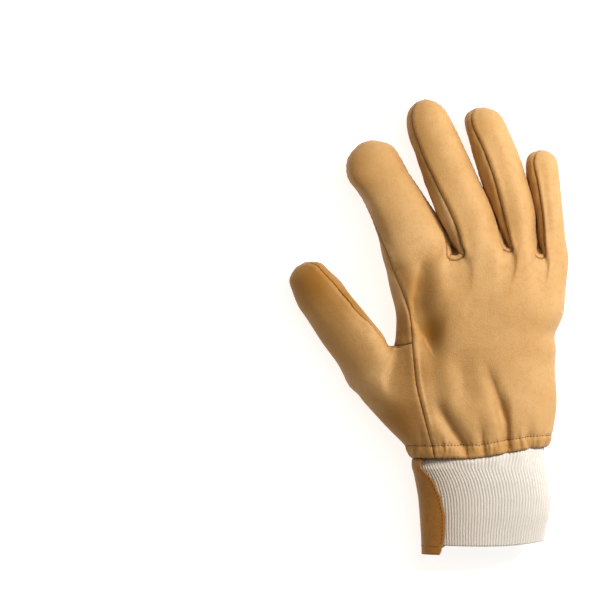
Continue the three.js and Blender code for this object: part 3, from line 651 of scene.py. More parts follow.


# Painted shade spots in the leather's colour or, below zero, painted light: panel or none, x, y, radius,
# change of tone
paintedShadeAndLightSpots = [
    (None, -69.0, 31.0, 17.0, 0.8), (None, -50.0, 16.0, 10.0, 0.45), (None, -1.5, -1.0, 8.0, 0.85),
    (None, -20.0, -58.0, 14.0, 0.6), (None, -35.4, 75.0, 9.0, -0.4), (None, -37.0, -32.0, 13.0, -0.4),
    (None, -4.0, -25.0, 9.0, 0.25), (None, -7.0, 27.0, 7.0, 0.45), (None, -8.5, 14.0, 6.0, 0.5),
    (None, -25.0, 48.0, 11.0, -0.4), (None, -32.0, 98.0, 16.0, 0.25),
    ("thumb_front", -46.0, 12.0, 17.0, 0.7), ("palm_panel", -17.7, 17.0, 8.0, -1.0),
    ("palm_panel", -21.0, 31.0, 8.0, -0.9), ("fourchette_index_middle", 3.7, 69.0, 16.0, -0.8),
]
# Painted shade: how much darker the leather is on its thumb side, which faces away from the light, and on
# steep sides, and how far the painted spots show on a sloping side
paintedShading = {
    "left": 0.75, "leftFrom": 0.05, "leftMost": 0.45, "steep": 0.3, "steepFrom": 0.7,
    "spotFlat": 0.6, "spotFacing": 1.5, "hemWaveTop": 0.7, "hemWaveMost": 1.6, "range": (-0.8, 0.9),
}
crotchDistances = awayFrom(leatherPoints, crotches)
crotchAway = crotchDistances.min(axis=1)
tipAway = awayFrom(leatherPoints, tips).min(axis=1)
between = onPanels(*fourchettes)
hemWaves = hemWave(*relief["hemWaves"])


def leatherHeight():
    puckers = 2 * math.pi * seamArc / relief["puckerPitch"]
    puckers += relief["puckerBend"] * noiseAt(leatherPoints, *relief["puckerNoise"])
    height = band("groove", seamAway) + band("lip", seamAway) + np.sin(puckers) * band("pucker", seamAway)
    height *= np.interp(tipAway, relief["tipReach"], [relief["atTips"], 1])
    height += band("hemGroove", hemAway) + band("hemPuff", hemAway) + hemWaves * band("hemPucker", hemAway)
    height += hemWave(*relief["hemRipples"]) * band("hemRipple", hemAway)
    height -= relief["hemRound"] * np.clip(relief["hemRoundFrom"] - hemAway, 0, None) ** 2
    height += relief["wrinkle"] * noiseAt(leatherPoints, *relief["wrinkleNoise"])
    for lines, facing in ((creases, relief["creaseSide"]), (palmCreases, -relief["creaseSide"])):
        height -= creaseDepth(lines) * np.clip(leatherNormals[:, 2] * facing - relief["creaseFacing"], 0, 1)
    lips = np.array(relief["crotchLips"])[crotchDistances.argmin(axis=1) // 2]
    lips = np.where(between, lips, relief["handLip"]) * bump(crotchAway, 0, relief["crotchLipReach"])
    height += lips * band("crotchLip", seamAway)
    slack = noiseAt(leatherPoints * relief["sideWrinkleStretch"], *relief["sideWrinkleNoise"])
    bulge = (relief["sideBulge"][0] - band("sideBulge", seamAway)) * (1 + band("crotchBulge", crotchAway))
    return height + between * (bulge + relief["sideWrinkle"] * slack)


# Painted shade and painted light in the leather's colour: darker on the side away from the light, on steep
# sides, at the spots and in the valleys of the hem's waves, less near the crotches; below zero it is painted
# light
def leatherTone(normals):
    tone = np.clip(-paintedShading["left"] * normals[:, 0] - paintedShading["leftFrom"], 0, paintedShading["leftMost"])
    tone += paintedShading["steep"] * np.clip(paintedShading["steepFrom"] - np.abs(normals[:, 2]), 0, 1)
    tone *= 1 - band("crotchPaintedShadeFade", crotchAway)
    facing = np.clip(paintedShading["spotFlat"] + paintedShading["spotFacing"] * normals[:, 2], 0, 1)
    for panel, spotX, spotY, radius, change in paintedShadeAndLightSpots:
        share = facing * onPanels(panel) if panel else facing
        away = np.hypot(leatherPoints[:, 0] - spotX, leatherPoints[:, 1] - spotY)
        tone += change * bump(away, 0, radius) * share
    # painted shade in the valleys of the hem's waves
    hemShare = np.clip(paintedShading["hemWaveTop"] - hemWaves, 0, paintedShading["hemWaveMost"])
    tone += band("hemPaintedShade", hemAway) * hemShare
    return np.clip(tone, *paintedShading["range"])


softNormals = leatherNormals
for _ in range(relief["softRounds"]):
    softNormals = toCorners(softNormals[leatherQuads].mean(axis=1))
leatherPoints += softNormals * leatherHeight()[:, None]
# the painted shade and painted light, kept for the leather's colour
paintedShadeAndLight = leatherTone(softNormals)
leatherPoints[:, 1] += noiseAt(leatherPoints, *relief["raggedNoise"]) * band("ragged", hemAway)
leatherPoints[:, 2] = np.maximum(leatherPoints[:, 2], relief["floor"])
leatherNormals = toCorners(faceDirections())
print("relief done")

# Materials
tones = {
    "leather": (0.56, 0.345, 0.145), "leatherPale": (0.65, 0.44, 0.215), "leatherDeep": (0.40, 0.195, 0.030),
    # the paler leather colour at the end of the next line is painted light
    "seamShade": (0.26, 0.11, 0.02), "leatherPaintedLight": (0.84, 0.60, 0.33),
    "guard": (0.39, 0.182, 0.034), "guardPale": (0.49, 0.25, 0.06), "guardDeep": (0.25, 0.098, 0.014),
    "knit": (0.75, 0.725, 0.69), "knitShade": (0.56, 0.48, 0.39),
    "fleece": (0.72, 0.68, 0.60), "fleeceShade": (0.45, 0.40, 0.33),
    "thread": (0.22, 0.09, 0.022), "threadShade": (0.14, 0.055, 0.015),
}


# A noise has a scale, a detail and a roughness, a range has where it starts and ends and its two values there
leatherMarks = {
    "broad": (28.0, 4.0, 0.6), "mottle": (0.38, 0.68, 0.0, 0.5), "fine": (260.0, 5.0, 0.7),
    "fineMarks": (0.50, 0.75, 0.0, 0.3), "seamShade": (0.05, 0.7, 0.45, 0.0), "rough": (0.3, 0.7, 0.52, 0.68),
    "smoothness": 0.6, "pebbleHeight": 0.6, "fineHeight": 0.8,
}
fibreMarks = {
    "hairs": (3.0, 0.7), "hairMarks": (0.45, 0.75, 0.0, 0.3),
    "broad": (60.0, 3.0, 0.5), "patches": (0.4, 0.7, 0.0, 0.25),
}


def opaque(tone):
    return (*tones[tone], 1)


def node(tree, kind, values=None, inputs=None):
    made = tree.nodes.new(kind)
    for key, value in (values or {}).items():
        setattr(made, key, value)
    for key, value in (inputs or {}).items():
        if isinstance(value, bpy.types.NodeSocket):
            tree.links.new(value, made.inputs[key])
        else:
            made.inputs[key].default_value = value
    return made


def math2(tree, operation, a, b):
    return node(tree, "ShaderNodeMath", {"operation": operation}, {0: a, 1: b}).outputs[0]


def blended(tree, share, a, b):
    return node(tree, "ShaderNodeMix", {"data_type": "RGBA"}, {0: share, 6: a, 7: b}).outputs[2]


def ranged(tree, value, fromLow, fromHigh, toLow, toHigh, kind="LINEAR"):
    inputs = dict(enumerate((value, fromLow, fromHigh, toLow, toHigh)))
    return node(tree, "ShaderNodeMapRange", {"interpolation_type": kind}, inputs).outputs[0]


def noisy(tree, place, scale, detail, rough):
    inputs = {"Vector": place, "Scale": scale, "Detail": detail, "Roughness": rough}
    return node(tree, "ShaderNodeTexNoise", None, inputs).outputs[0]


def newGroup(name, colours, numbers, outputs):
    group = bpy.data.node_groups.new(name, "ShaderNodeTree")
    sockets = [(key, "INPUT", "Color", opaque(tone)) for key, tone in colours.items()]
    sockets += [(key, "INPUT", "Float", value) for key, value in numbers.items()]
    sockets += [(key, "OUTPUT", kind, None) for key, kind in outputs.items()]
    for key, way, kind, value in sockets:
        made = group.interface.new_socket(name=key, in_out=way, socket_type="NodeSocket" + kind)
        if value is not None:
            made.default_value = value
    place = node(group, "ShaderNodeTexCoord").outputs["Object"]
    return group, node(group, "NodeGroupInput").outputs, place


def leatherGroup():
    colours = {"Colour": "leather", "Pale": "leatherPale", "Deep": "leatherDeep"}
    numbers = {"Grain size": 1100.0, "Seam away": 20.0, "Painted shade and light": 0.0}
    outputs = {"Colour": "Color", "Roughness": "Float", "Height": "Float"}
    group, inside, place = newGroup("leatherSurface", colours, numbers, outputs)
    broad = noisy(group, place, *leatherMarks["broad"])
    fine = noisy(group, place, *leatherMarks["fine"])
    cells = {"Vector": place, "Scale": inside["Grain size"], "Smoothness": leatherMarks["smoothness"]}
    grain = node(group, "ShaderNodeTexVoronoi", {"feature": "SMOOTH_F1"}, cells).outputs["Distance"]
    mottle = ranged(group, broad, *leatherMarks["mottle"])
    colour = blended(group, mottle, inside["Colour"], inside["Pale"])
    colour = blended(group, ranged(group, fine, *leatherMarks["fineMarks"]), colour, inside["Deep"])
    # painted shade: darker where the painted tone is above zero
    colour = blended(group, inside["Painted shade and light"], colour, inside["Deep"])
    # painted light: paler where the painted tone is below zero
    paintedLight = math2(group, "MULTIPLY", inside["Painted shade and light"], -1.0)
    colour = blended(group, paintedLight, colour, opaque("leatherPaintedLight"))
    shade = ranged(group, inside["Seam away"], *leatherMarks["seamShade"], "SMOOTHSTEP")
    colour = blended(group, shade, colour, opaque("seamShade"))
    pebbles = math2(group, "MULTIPLY", grain, leatherMarks["pebbleHeight"])
    height = math2(group, "ADD", pebbles, math2(group, "MULTIPLY", fine, leatherMarks["fineHeight"]))
    rough = ranged(group, fine, *leatherMarks["rough"])
    node(group, "NodeGroupOutput", None, {"Colour": colour, "Roughness": rough, "Height": height})
    return group


def fibreGroup():
    colours = {"Colour": "knit", "Shade": "knitShade"}
    numbers = {"Fibre size": 1500.0, "Painted knit shade": 0.0}
    outputs = {"Colour": "Color", "Height": "Float"}
    group, inside, place = newGroup("fibreSurface", colours, numbers, outputs)
    hairs = noisy(group, place, inside["Fibre size"], *fibreMarks["hairs"])
    patches = ranged(group, noisy(group, place, *fibreMarks["broad"]), *fibreMarks["patches"])
    # the knit's painted shade, or a random patch, darkens the colour
    share = math2(group, "MAXIMUM", patches, inside["Painted knit shade"])
    colour = blended(group, share, inside["Colour"], inside["Shade"])
    colour = blended(group, ranged(group, hairs, *fibreMarks["hairMarks"]), colour, inside["Shade"])
    node(group, "NodeGroupOutput", None, {"Colour": colour, "Height": hairs})
    return group


def newMaterial(name, finish):
    material = bpy.data.materials.new(name)
    material.use_nodes = True
    shader = material.node_tree.nodes["Principled BSDF"]
    for key, value in finish.items():
        shader.inputs[key].default_value = value
    return material, material.node_tree, shader


def surfaceMaterial(name, nodes, colours, numbers, attributes, bumps, finish):
    material, tree, shader = newMaterial(name, finish)
    values = {**numbers, **{key: opaque(tone) for key, tone in colours.items()}}
    for key, attribute in attributes.items():
        values[key] = node(tree, "ShaderNodeAttribute", {"attribute_name": attribute}).outputs["Fac"]
    surface = node(tree, "ShaderNodeGroup", {"node_tree": nodes}, values).outputs
    heights = {**bumps, "Height": surface["Height"]}
    tree.links.new(surface["Colour"], shader.inputs["Base Color"])
    if "Roughness" in surface:
        tree.links.new(surface["Roughness"], shader.inputs["Roughness"])
    tree.links.new(node(tree, "ShaderNodeBump", None, heights).outputs[0], shader.inputs["Normal"])
    return material


def leatherMaterial(name, colour, pale, deep, grain):
    colours = {"Colour": colour, "Pale": pale, "Deep": deep}
    # the painted shade and painted light come from a point attribute
    attributes = {"Seam away": "seamAway", "Painted shade and light": "paintedShadeAndLight"}
    finish = {"Sheen Weight": 0.15, "Sheen Roughness": 0.5, "Specular IOR Level": 0.35}
    numbers, bumps = {"Grain size": grain}, {"Strength": 0.5, "Distance": 0.0005}
    return surfaceMaterial(name, leatherNodes, colours, numbers, attributes, bumps, finish)


def fibreMaterial(name, colour, shade, fibre, paintedKnitShade=None):
    colours = {"Colour": colour, "Shade": shade}
    attributes = {"Painted knit shade": paintedKnitShade} if paintedKnitShade else {}
    finish = {"Roughness": 0.95, "Sheen Weight": 0.3, "Specular IOR Level": 0.2}
    numbers, bumps = {"Fibre size": fibre}, {"Strength": 0.6, "Distance": 0.0003}
    return surfaceMaterial(name, fibreNodes, colours, numbers, attributes, bumps, finish)


leatherNodes = leatherGroup()
fibreNodes = fibreGroup()
leatherLook = leatherMaterial("tanLeather", "leather", "leatherPale", "leatherDeep", 1500.0)
guardLook = leatherMaterial("guardLeather", "guard", "guardPale", "guardDeep", 1100.0)
# the knit's painted shade comes from a point attribute
knitLook = fibreMaterial("ribKnit", "knit", "knitShade", 1600.0, "paintedKnitShade")
fleeceLook = fibreMaterial("fleeceLining", "fleece", "fleeceShade", 700.0)
threadLook = fibreMaterial("brownThread", "thread", "threadShade", 2500.0)
frayLook = fibreMaterial("leatherFray", "leatherPale", "leatherDeep", 2500.0)
print("materials made")


def addPiece(name, coords, faces, looks, faceLooks=None, attributes=None):
    mesh = bpy.data.meshes.new(name)
    coords = np.array(coords)
    coords[:, 2] = np.maximum(coords[:, 2], glove["floorGap"])
    mesh.from_pydata(((coords + glove["shift"]) / 1000).tolist(), [], faces)
    mesh.validate()
    for look in looks:
        mesh.materials.append(look)
    mesh.polygons.foreach_set("use_smooth", [True] * len(mesh.polygons))
    if faceLooks is not None:
        mesh.polygons.foreach_set("material_index", faceLooks)
    for key, values in (attributes or {}).items():
        mesh.attributes.new(key, "FLOAT", "POINT").data.foreach_set("value", values)
    mesh.update()
    piece = newObject(name, mesh)
    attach(piece, "root")
    return piece


# Each panel becomes a closed wall: leather outside, fleece inside
wall = {
    "setBack": 0.12, "thickness": (0.4, 1.4), "seamReach": 3, "leastAtBends": 0.25,
    "fleeceFrom": 5, "fleeceFromCrotch": 14, "flatBelow": 0.5, "flatWall": 0.4,
}
faceNormals = unit(faceDirections())
evenness = np.ones(len(leatherPoints))
for k in range(4):
    np.minimum.at(evenness, leatherQuads[:, k], (faceNormals * leatherNormals[leatherQuads[:, k]]).sum(1))
thickness = np.interp(seamAway, [0, wall["seamReach"]], wall["thickness"])
thickness *= np.clip(evenness, wall["leastAtBends"], 1) ** 2


def buildPanel(panel):
    quads = leatherQuads[leatherPanels == panelNames.index(panel)]
    used, inverse = np.unique(quads, return_inverse=True)
    local = inverse.reshape(quads.shape)
    count = len(used)
    directed = {}
    for face, quad in enumerate(local.tolist()):
        directed.update({edge: face for edge in zip(quad, quad[1:] + quad[:1])})
    rim = [edge for edge in directed if edge[::-1] not in directed]
    outer = leatherPoints[used]
    centres = outer[local].mean(axis=1)
    push = np.zeros_like(outer)
    for a, b in rim:
        direction = unit(outer[b] - outer[a])
        inward = centres[directed[(a, b)]] - outer[a]
        push[[a, b]] += unit(inward - direction * inward.dot(direction))
    outer += unit(push) * wall["setBack"]
    inner = outer - leatherNormals[used] * thickness[used, None]
    lowest = np.minimum(outer[:, 2], wall["flatBelow"]) + wall["flatWall"]
    inner[:, 2] = np.maximum(inner[:, 2], lowest)
    lined = seamAway[used][local].min(axis=1) > wall["fleeceFrom"]
    lined &= crotchAway[used][local].min(axis=1) > wall["fleeceFromCrotch"]
    faces = local.tolist() + (local[:, ::-1] + count).tolist()
    faces += [[b, a, a + count, b + count] for a, b in rim]
    faceLooks = [0] * len(local) + lined.astype(int).tolist() + [0] * len(rim)
    # the painted shade and painted light go with each panel
    marks = {"seamAway": np.tile(seamAway[used], 2), "paintedShadeAndLight": np.tile(paintedShadeAndLight[used], 2)}
    first, *others = panel.split("_")
    name = first + "".join(word.title() for word in others)
    looks = [leatherLook, fleeceLook]
    piece = addPiece(name, np.vstack([outer, inner]), faces, looks, faceLooks, marks)
    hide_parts(panel)


for panel in panelNames:
    if panel not in caps:
        buildPanel(panel)
print("leather panels made")


# Rings of the wrist
def spacedLoop(loop, count):
    pts = np.asarray(loop)
    before, after, beyond = (np.roll(pts, shift, 0) for shift in (1, -1, -2))
    fine = np.stack([curve(before, pts, after, beyond, s / 10) for s in range(10)], 1).reshape(-1, 3)
    closed = np.vstack([fine, fine[:1]])
    length = arcLengths(closed)
    return sampled(closed, length, np.linspace(0, length[-1], count, endpoint=False))


def sideways(run):
    run = unit(run * (1, 0, 1))
    return np.stack([run[..., 2], np.zeros(run.shape[:-1]), -run[..., 0]], -1)


def moveIn(rings, distance):
    run = np.roll(rings, -1, axis=-2) - np.roll(rings, 1, axis=-2)
    return rings + sideways(run) * np.asarray(distance)[..., None]


def softLoop(rings, rounds):
    for _ in range(rounds):
        rings = (np.roll(rings, 1, axis=-2) + 2 * rings + np.roll(rings, -1, axis=-2)) / 4
    return rings


hemPoints, nextPoints = (np.array([cagePoints[i][:] for i in loop]) for loop in (loops[-1], loops[-2]))


def hemRing(share, count):
    ring = spacedLoop(mix(hemPoints, nextPoints, share), count * 4)
    start = int(np.argmin(ring[:, 0]))
    return spacedLoop(np.roll(ring, -start, 0)[::4], count)


def wristPoints(section, margin, angles):
    y, left, right, top, low = section
    a = np.radians(angles)
    x = (left + right) / 2 + ((right - left) / 2 + margin) * power(np.cos(a), 2 / glove["wristSquareness"])
    z = (top + low) / 2 + ((top - low) / 2 + margin) * power(np.sin(a), 2 / glove["wristSquareness"])
    return np.stack([x, np.full_like(x, y), z], 1)


def fillRows(rows, step, blur):
    rows = np.array(rows)
    at = np.concatenate([[0], np.cumsum(sizes(np.diff(rows, axis=0)).mean(axis=1))])
    goal = np.linspace(0, at[-1], int(at[-1] / step) + 1)
    return evened(np.stack([sampled(rows[:, i], at, goal) for i in range(rows.shape[1])], 1), blur)


# A wall's faces: its rows run out on one side and back on the other, and an open wall has its two ends closed
def closedWall(outer, inner, close):
    rows, width = outer.shape[:2]
    path = np.vstack([outer, inner[::-1]])
    total = len(path)
    faces = []
    for k in range(total):
        here, beyond = k * width, (k + 1) % total * width
        for i in range(width if close else width - 1):
            j = (i + 1) % width
            faces.append((here + j, here + i, beyond + i, beyond + j))
    if not close:
        end = width - 1
        for k in range(rows - 1):
            a, b, c, d = (row * width for row in (k, k + 1, total - 1 - k, total - 2 - k))
            faces.append((a, c, d, b))
            faces.append((b + end, d + end, c + end, a + end))
    return path.reshape(-1, 3), faces


cuff = {
    "sections": [  # y, left, right, top, low
        (-85.0, -8.9, 70.6, 41.0, 3.4), (-93.0, -6.7, 72.4, 40.2, 2.6), (-103.0, -4.9, 73.7, 38.6, 2.4),
        (-113.5, -4.0, 72.8, 36.8, 2.4), (-123.0, -3.3, 70.4, 35.0, 2.4), (-132.6, -2.8, 69.4, 33.5, 2.4),
    ],
    "tucked": [  # share above the hem, depth inside the leather where free, where under the guard
        (0.9, 4.1, 4.55), (0.26, 4.1, 4.55), (0.12, 2.9, 4.4),
        (0.0, 1.9, 2.9), (-0.12, 1.4, 1.6), (-0.3, 0.9, 1.0),
    ],
    "ribs": 104, "pointsPerRib": 6, "ribHeight": 0.3, "wall": 1.2, "halfWall": 0.5, "ribBase": 0.05,
    "rowStep": 0.9, "endBow": 2.8, "leftBow": 0.3, "cornerRounds": 200,
    "ribShift": 15.0, "shiftReach": 13.0, "shiftFrom": (-0.08, 0.06), "shiftTo": (0.1, 0.42),
    # the last three values on the next line set painted shade: in the rib valleys and towards the thumb side
    "guardFrom": (0.5, 0.6), "guardTo": (0.12, 0.22), "ribPaintedShade": 0.32, "paintedLeftShade": 0.5, "paintedLeftShadeTo": 36.0,
}
lining = {
    "points": 180, "seat": 2.8, "wall": 1.0, "cornerRounds": 30, "rowStep": 0.8,
    "tucked": (0.8, 0.4), "edgeAtBack": 0.3, "edgeAtPalm": -0.05, "shownBelow": 14, "shownOver": 6,
}
guardPlace = {"seat": 4.55, "wall": 1.6, "gap": 0.3}


def buildCuff():
    perRib = cuff["pointsPerRib"]
    count = cuff["ribs"] * perRib
    at = np.arange(count) / count
    onGuard = 1 - smooth(at, *cuff["guardTo"]) + smooth(at, *cuff["guardFrom"])
    rows = []
    for share, free, seat in cuff["tucked"]:
        depth = mix(free, seat + guardPlace["wall"] + guardPlace["gap"], onGuard) + cuff["halfWall"]
        rows.append(softLoop(moveIn(hemRing(share, count), depth), cuff["cornerRounds"]))
    for section in cuff["sections"]:
        rows.append(spacedLoop(wristPoints(section, 0, 180 - 360 * at), count))
    left, right = cuff["sections"][-1][1:3]
    across = (rows[-1][:, 0] - left) / (right - left)
    rows[-1][:, 1] += cuff["endBow"] * (2 * across - 1) ** 2 * np.where(across > 0.5, 1, cuff["leftBow"])
    fine = fillRows(rows, cuff["rowStep"], 1)
    # the ribs are pulled to the thumb side under the hem
    drawn = smooth(at, *cuff["shiftFrom"]) * (1 - smooth(at, *cuff["shiftTo"]))
    hemY = hemPoints[:, 1].mean()
    for k, ring in enumerate(fine):
        below = max(hemY - ring[:, 1].mean(), 0)
        goal = np.arange(count) - cuff["ribShift"] * bump(below, 0, cuff["shiftReach"]) * drawn
        fine[k] = sampled(np.vstack([ring, ring[:1]]), np.arange(count + 1), goal % count)
    rib = 0.5 + 0.5 * np.cos(2 * math.pi * np.arange(count) / perRib)
    outer = moveIn(fine, cuff["ribBase"] - cuff["ribHeight"] * rib)
    coords, faces = closedWall(outer, moveIn(fine, cuff["wall"]), True)
    # Painted shade in the knit's colour: darker in the valleys of the ribs and towards the thumb side
    paintedKnitShade = np.tile(1 - rib, 2 * len(fine)) * cuff["ribPaintedShade"]
    paintedKnitShade += cuff["paintedLeftShade"] * np.clip((cuff["paintedLeftShadeTo"] - coords[:, 0]) / cuff["paintedLeftShadeTo"], 0, 1)
    piece = addPiece("knitCuff", coords, faces, [knitLook], None, {"paintedKnitShade": paintedKnitShade})
    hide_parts("knit_cuff")


buildCuff()
print("cuff made")


def buildLining():
    shares = (*lining["tucked"], lining["edgeAtBack"], lining["edgeAtPalm"])
    *rows, back, palm = (moveIn(hemRing(share, lining["points"]), lining["seat"]) for share in shares)
    shown = np.clip((lining["shownBelow"] - palm[:, 2:3]) / lining["shownOver"], 0, 1)
    outer = fillRows(rows + [mix(back, palm, shown)], lining["rowStep"], 1)
    outer = softLoop(outer, lining["cornerRounds"])
    coords, faces = closedWall(outer, moveIn(outer, lining["wall"]), True)
    piece = addPiece("liningEdge", coords, faces, [fleeceLook])
    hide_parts("lining_edge")


buildLining()

guard = {
    "sections": [  # y, front angle, back angle
        (-85.0, 151, 308), (-92.0, 136, 303), (-103.0, 130, 298),
        (-114.0, 126, 298), (-128.0, 127, 300), (-137.8, 134, 303),
    ],
    "tucked": [  # share above the hem, depth inside the leather
        (0.85, guardPlace["seat"]), (0.12, guardPlace["seat"]), (0.0, 1.6), (-0.08, 0.8), (-0.3, 0.2),
    ],
    "columns": 110, "ringPoints": 400, "rowStep": 1.0, "evenRounds": 3,
    "endRise": 6.5, "endSide": 16, "wall": 1.3, "offCuff": 0.5,
}


def cuffSectionAt(y):
    below, *columns = zip(*((-section[0], *section[1:]) for section in cuff["sections"]))
    return (y, *(float(np.interp(-y, below, column)) for column in columns))


def buildGuard():
    columns = guard["columns"]
    margin = guard["offCuff"] + guardPlace["gap"] + guardPlace["wall"]
    openRows = []
    for y, front, back in guard["sections"]:
        openRows.append(wristPoints(cuffSectionAt(y), margin, np.linspace(front, back, columns + 1)))
    last = openRows[-1]
    rise = smooth(last[:, 0], 0, guard["endSide"]) * (np.arange(columns + 1) > columns / 2)
    last[:, 1] += guard["endRise"] * rise
    rows = []
    for share, seat in guard["tucked"]:
        ring = moveIn(hemRing(share, guard["ringPoints"]), seat)
        rows.append(ring[awayFrom(openRows[0][:, [0, 2]], ring[:, [0, 2]]).argmin(1)])
    fine = fillRows(rows + openRows, guard["rowStep"], guard["evenRounds"])
    fine = evened(fine.swapaxes(0, 1), guard["evenRounds"]).swapaxes(0, 1)
    inward = -sideways(np.gradient(fine, axis=1))
    coords, faces = closedWall(fine, fine + inward * guard["wall"], False)
    steps = sizes(np.diff(fine, axis=1))
    fromFront = np.hstack([np.zeros((len(fine), 1)), np.cumsum(steps, axis=1)])
    toEdge = np.minimum(fromFront, fromFront[:, -1:] - fromFront)
    away = np.vstack([toEdge, toEdge[::-1]]).ravel()
    piece = addPiece("wristGuard", coords, faces, [guardLook], None, {"seamAway": away})
    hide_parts("wrist_guard")
    return fine, -inward


guardRows, guardNormals = buildGuard()
print("guard made")


# A thin round body along a few middles, closed by a point if it has a tip
def addTube(coords, faces, middles, radii, side, up, sides, tip=None):
    first = len(coords)
    for middle, radius in zip(middles, radii):
        for k in range(sides):
            a = 2 * math.pi * k / sides
            coords.append(middle + (side * math.cos(a) + up * math.sin(a)) * radius)
    for base in range(first, len(coords) - sides, sides):
        for k in range(sides):
            j = (k + 1) % sides
            faces.append((base + k, base + j, base + sides + j, base + sides + k))
    faces.append(tuple(range(first + sides - 1, first - 1, -1)))
    last = range(len(coords) - sides, len(coords))
    if tip is None:
        faces.append(tuple(last))
    else:
        faces.extend((last[k], last[(k + 1) % sides], len(coords)) for k in range(sides))
        coords.append(tip)


# Stitches are short rounded threads that lie along a line on the leather
thread = {
    "stations": (0, 0.18, 0.5, 0.82, 1), "scales": (0.35, 0.9, 1.0, 0.9, 0.35), "sides": 6,
    "rise": 0.75, "rest": 0.1, "sunk": 0.05, "shortest": 0.3,
}


def addStitches(name, lines, stitch):
    coords, faces = [], []
    radius, length = stitch["radius"], stitch["length"]
    for points, normals in lines:
        at = arcLengths(points)
        for middle in np.arange(stitch["pitch"] / 2, at[-1], stitch["pitch"]):
            start, end = (sampled(points, at, middle + s * length / 2) for s in (-1, 1))
            if sizes(end - start) < thread["shortest"] * length:
                continue
            direction, up = unit(end - start), sampled(normals, at, middle)
            up = unit(up - direction * up.dot(direction))
            middles = []
            for t in thread["stations"]:
                lift = radius * (thread["rest"] + thread["rise"] * math.sin(math.pi * t)) - thread["sunk"]
                middles.append(mix(start, end, t) + up * lift)
            radii = [radius * scale for scale in thread["scales"]]
            addTube(coords, faces, middles, radii, np.cross(direction, up), up, thread["sides"])
    addPiece(name, coords, faces, [threadLook])


hemStitch = {
    "pitch": 2.1, "length": 1.2, "radius": 0.3, "upperRow": 8.0, "lowerRow": 3.2,
    "search": 3, "evenRounds": 3, "palmFacing": -0.2,
}


def hemPath(distance):
    score = np.abs(hemAway - distance)
    best = {}
    for v in np.nonzero(score < hemStitch["search"])[0]:
        owner = hemOwner[v]
        if owner not in best or score[v] < score[best[owner]]:
            best[owner] = v
    order = [best[v] for v in hemLine if v in best]
    return evened(leatherPoints[order], hemStitch["evenRounds"]), leatherNormals[order]


def palmPath(distance):
    points, normals = hemPath(distance)
    below = normals[:, 2] < hemStitch["palmFacing"]
    points, normals = points[below], normals[below]
    gap = int(np.argmax(sizes(np.diff(points, axis=0)))) + 1
    return np.roll(points, -gap, axis=0), np.roll(normals, -gap, axis=0)


addStitches("hemStitches", [hemPath(hemStitch["upperRow"])], hemStitch)
addStitches("palmStitches", [palmPath(hemStitch["lowerRow"])], hemStitch)
guardStitch = {"pitch": 2.4, "length": 1.6, "radius": 0.2, "fromSide": 1.6, "fromEnd": 5, "firstRow": 14}
rowRange = slice(guardStitch["firstRow"], -guardStitch["fromEnd"])
guardSurface = (guardRows, guardNormals)
sides = [mix(values[:, 1], values[:, 2], guardStitch["fromSide"] - 1)[rowRange] for values in guardSurface]
ends = [values[-guardStitch["fromEnd"], 2:-2] for values in guardSurface]
addStitches("guardStitches", [sides, ends], guardStitch)

# Loose fibres: thin bent spikes that grow from a line
fray = {
    "spread": 0.45, "bend": 0.3, "radius": 0.07, "stations": (-0.2, 0.5, 1), "scales": (1.0, 0.8), "sides": 3,
    "reach": (0.4, 1.3), "sideTo": (0.31, 0.52, 0.8), "hemCount": 520, "hemLength": 0.9, "hemDeep": 0.4,
    "guardCount": 420, "guardLength": 1.1, "guardDeep": 0.9, "guardFirstRow": 8,
}


def scattered(spread):
    return np.array([random.gauss(0, spread) for _ in range(3)])


def addStrands(name, points, directions, count, length, look):
    at = arcLengths(points)
    coords, faces = [], []
    for _ in range(count):
        place = random.uniform(0, at[-1])
        root = sampled(points, at, place)
        lean = unit(sampled(directions, at, place)) + scattered(fray["spread"])
        bend = scattered(fray["bend"])
        side = unit(np.cross(lean, fray["sideTo"]))
        up = unit(np.cross(side, lean))
        reach = length * random.uniform(*fray["reach"])
        low, middle, tip = (root + (lean * t + bend * t * t) * reach for t in fray["stations"])
        radii = [fray["radius"] * scale for scale in fray["scales"]]
        addTube(coords, faces, [low, middle], radii, side, up, fray["sides"], tip)
    addPiece(name, coords, faces, [look])


hemPlaces = leatherPoints[hemLine] - leatherNormals[hemLine] * fray["hemDeep"]
hemOut = np.tile([0.0, -1.0, 0.0], (len(hemLine), 1))
addStrands("hemFray", hemPlaces, hemOut, fray["hemCount"], fray["hemLength"], frayLook)
fuzzRows = slice(fray["guardFirstRow"], None)
guardSide = guardRows[fuzzRows, 0] - guardNormals[fuzzRows, 0] * fray["guardDeep"]
guardOut = guardRows[fuzzRows, 0] - guardRows[fuzzRows, 1]
count, length = fray["guardCount"], fray["guardLength"]
addStrands("guardFuzz", guardSide, guardOut, count, length, fleeceLook)
print("stitches and fibres made")

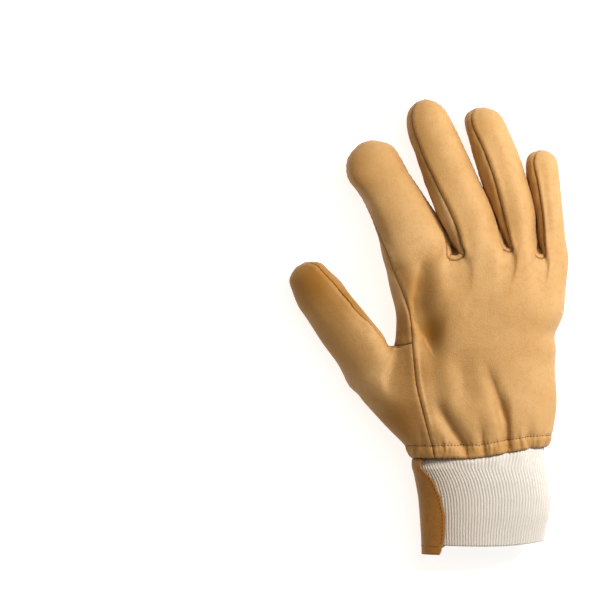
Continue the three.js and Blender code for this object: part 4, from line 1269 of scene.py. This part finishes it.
# Stage: floor, lights and the camera above. A light has its place, where it points, size, energy and colour.
# Places are in metres, the focus and the middle of the picture in millimetres.
stage = {
    "floorSize": 6, "floor": (0.5, 0.5, 0.5), "floorGlow": 0.8,
    "keyLight": ((0.62, 0.44, 0.76), (0.02, 0, 0.02), 0.4, 11.9, (0.97, 0.98, 1.0)),
    "topLight": ((0.3, 0.5, 1.5), (0, 0, 0.02), 1.0, 5, (1.0, 0.97, 0.93)),
    "world": (1.0, 0.88, 0.72), "worldStrength": 0.34, "gamma": 0.82,
    "cameraHeight": 3.0, "imageCentre": (-78.6, 16.1), "focusHeight": 20, "imagePixels": 600,
    "millimetresPerPixel": 0.61, "sensor": 36, "clip": (0.1, 20),
}
scene = bpy.context.scene
bpy.ops.mesh.primitive_plane_add(size=stage["floorSize"], location=(0, 0, 0))
floor = bpy.context.object
floor.name = "floor"
floorFinish = {
    "Base Color": (*stage["floor"], 1), "Roughness": 0.9,
    "Emission Color": (1, 1, 1, 1), "Emission Strength": stage["floorGlow"],
}
floor.data.materials.append(newMaterial("paleFloor", floorFinish)[0])


def areaLight(name, place, aim, size, energy, colour):
    data = bpy.data.lights.new(name, "AREA")
    data.shape = "DISK"
    data.size = size
    data.energy = energy
    data.color = colour
    light = newObject(name, data)
    light.location = place
    light.rotation_mode = "QUATERNION"
    light.rotation_quaternion = (Vector(aim) - Vector(place)).to_track_quat("-Z", "Y")


for name in ("keyLight", "topLight"):
    areaLight(name, *stage[name])
world = bpy.data.worlds.new("softStudio")
world.use_nodes = True
background = world.node_tree.nodes["Background"]
background.inputs["Color"].default_value = (*stage["world"], 1)
background.inputs["Strength"].default_value = stage["worldStrength"]
scene.world = world
scene.view_settings.view_transform = "Standard"
scene.view_settings.gamma = stage["gamma"]

cameraData = bpy.data.cameras.new("camera")
camera = newObject("camera", cameraData)
field = stage["imagePixels"] * stage["millimetresPerPixel"] / 1000
cameraData.sensor_width = stage["sensor"]
cameraData.lens = stage["sensor"] * (stage["cameraHeight"] - stage["focusHeight"] / 1000) / field
cameraData.clip_start, cameraData.clip_end = stage["clip"]
centreX, centreY = stage["imageCentre"]
camera.location = (centreX / 1000, centreY / 1000, stage["cameraHeight"])
scene.camera = camera
print("stage set")
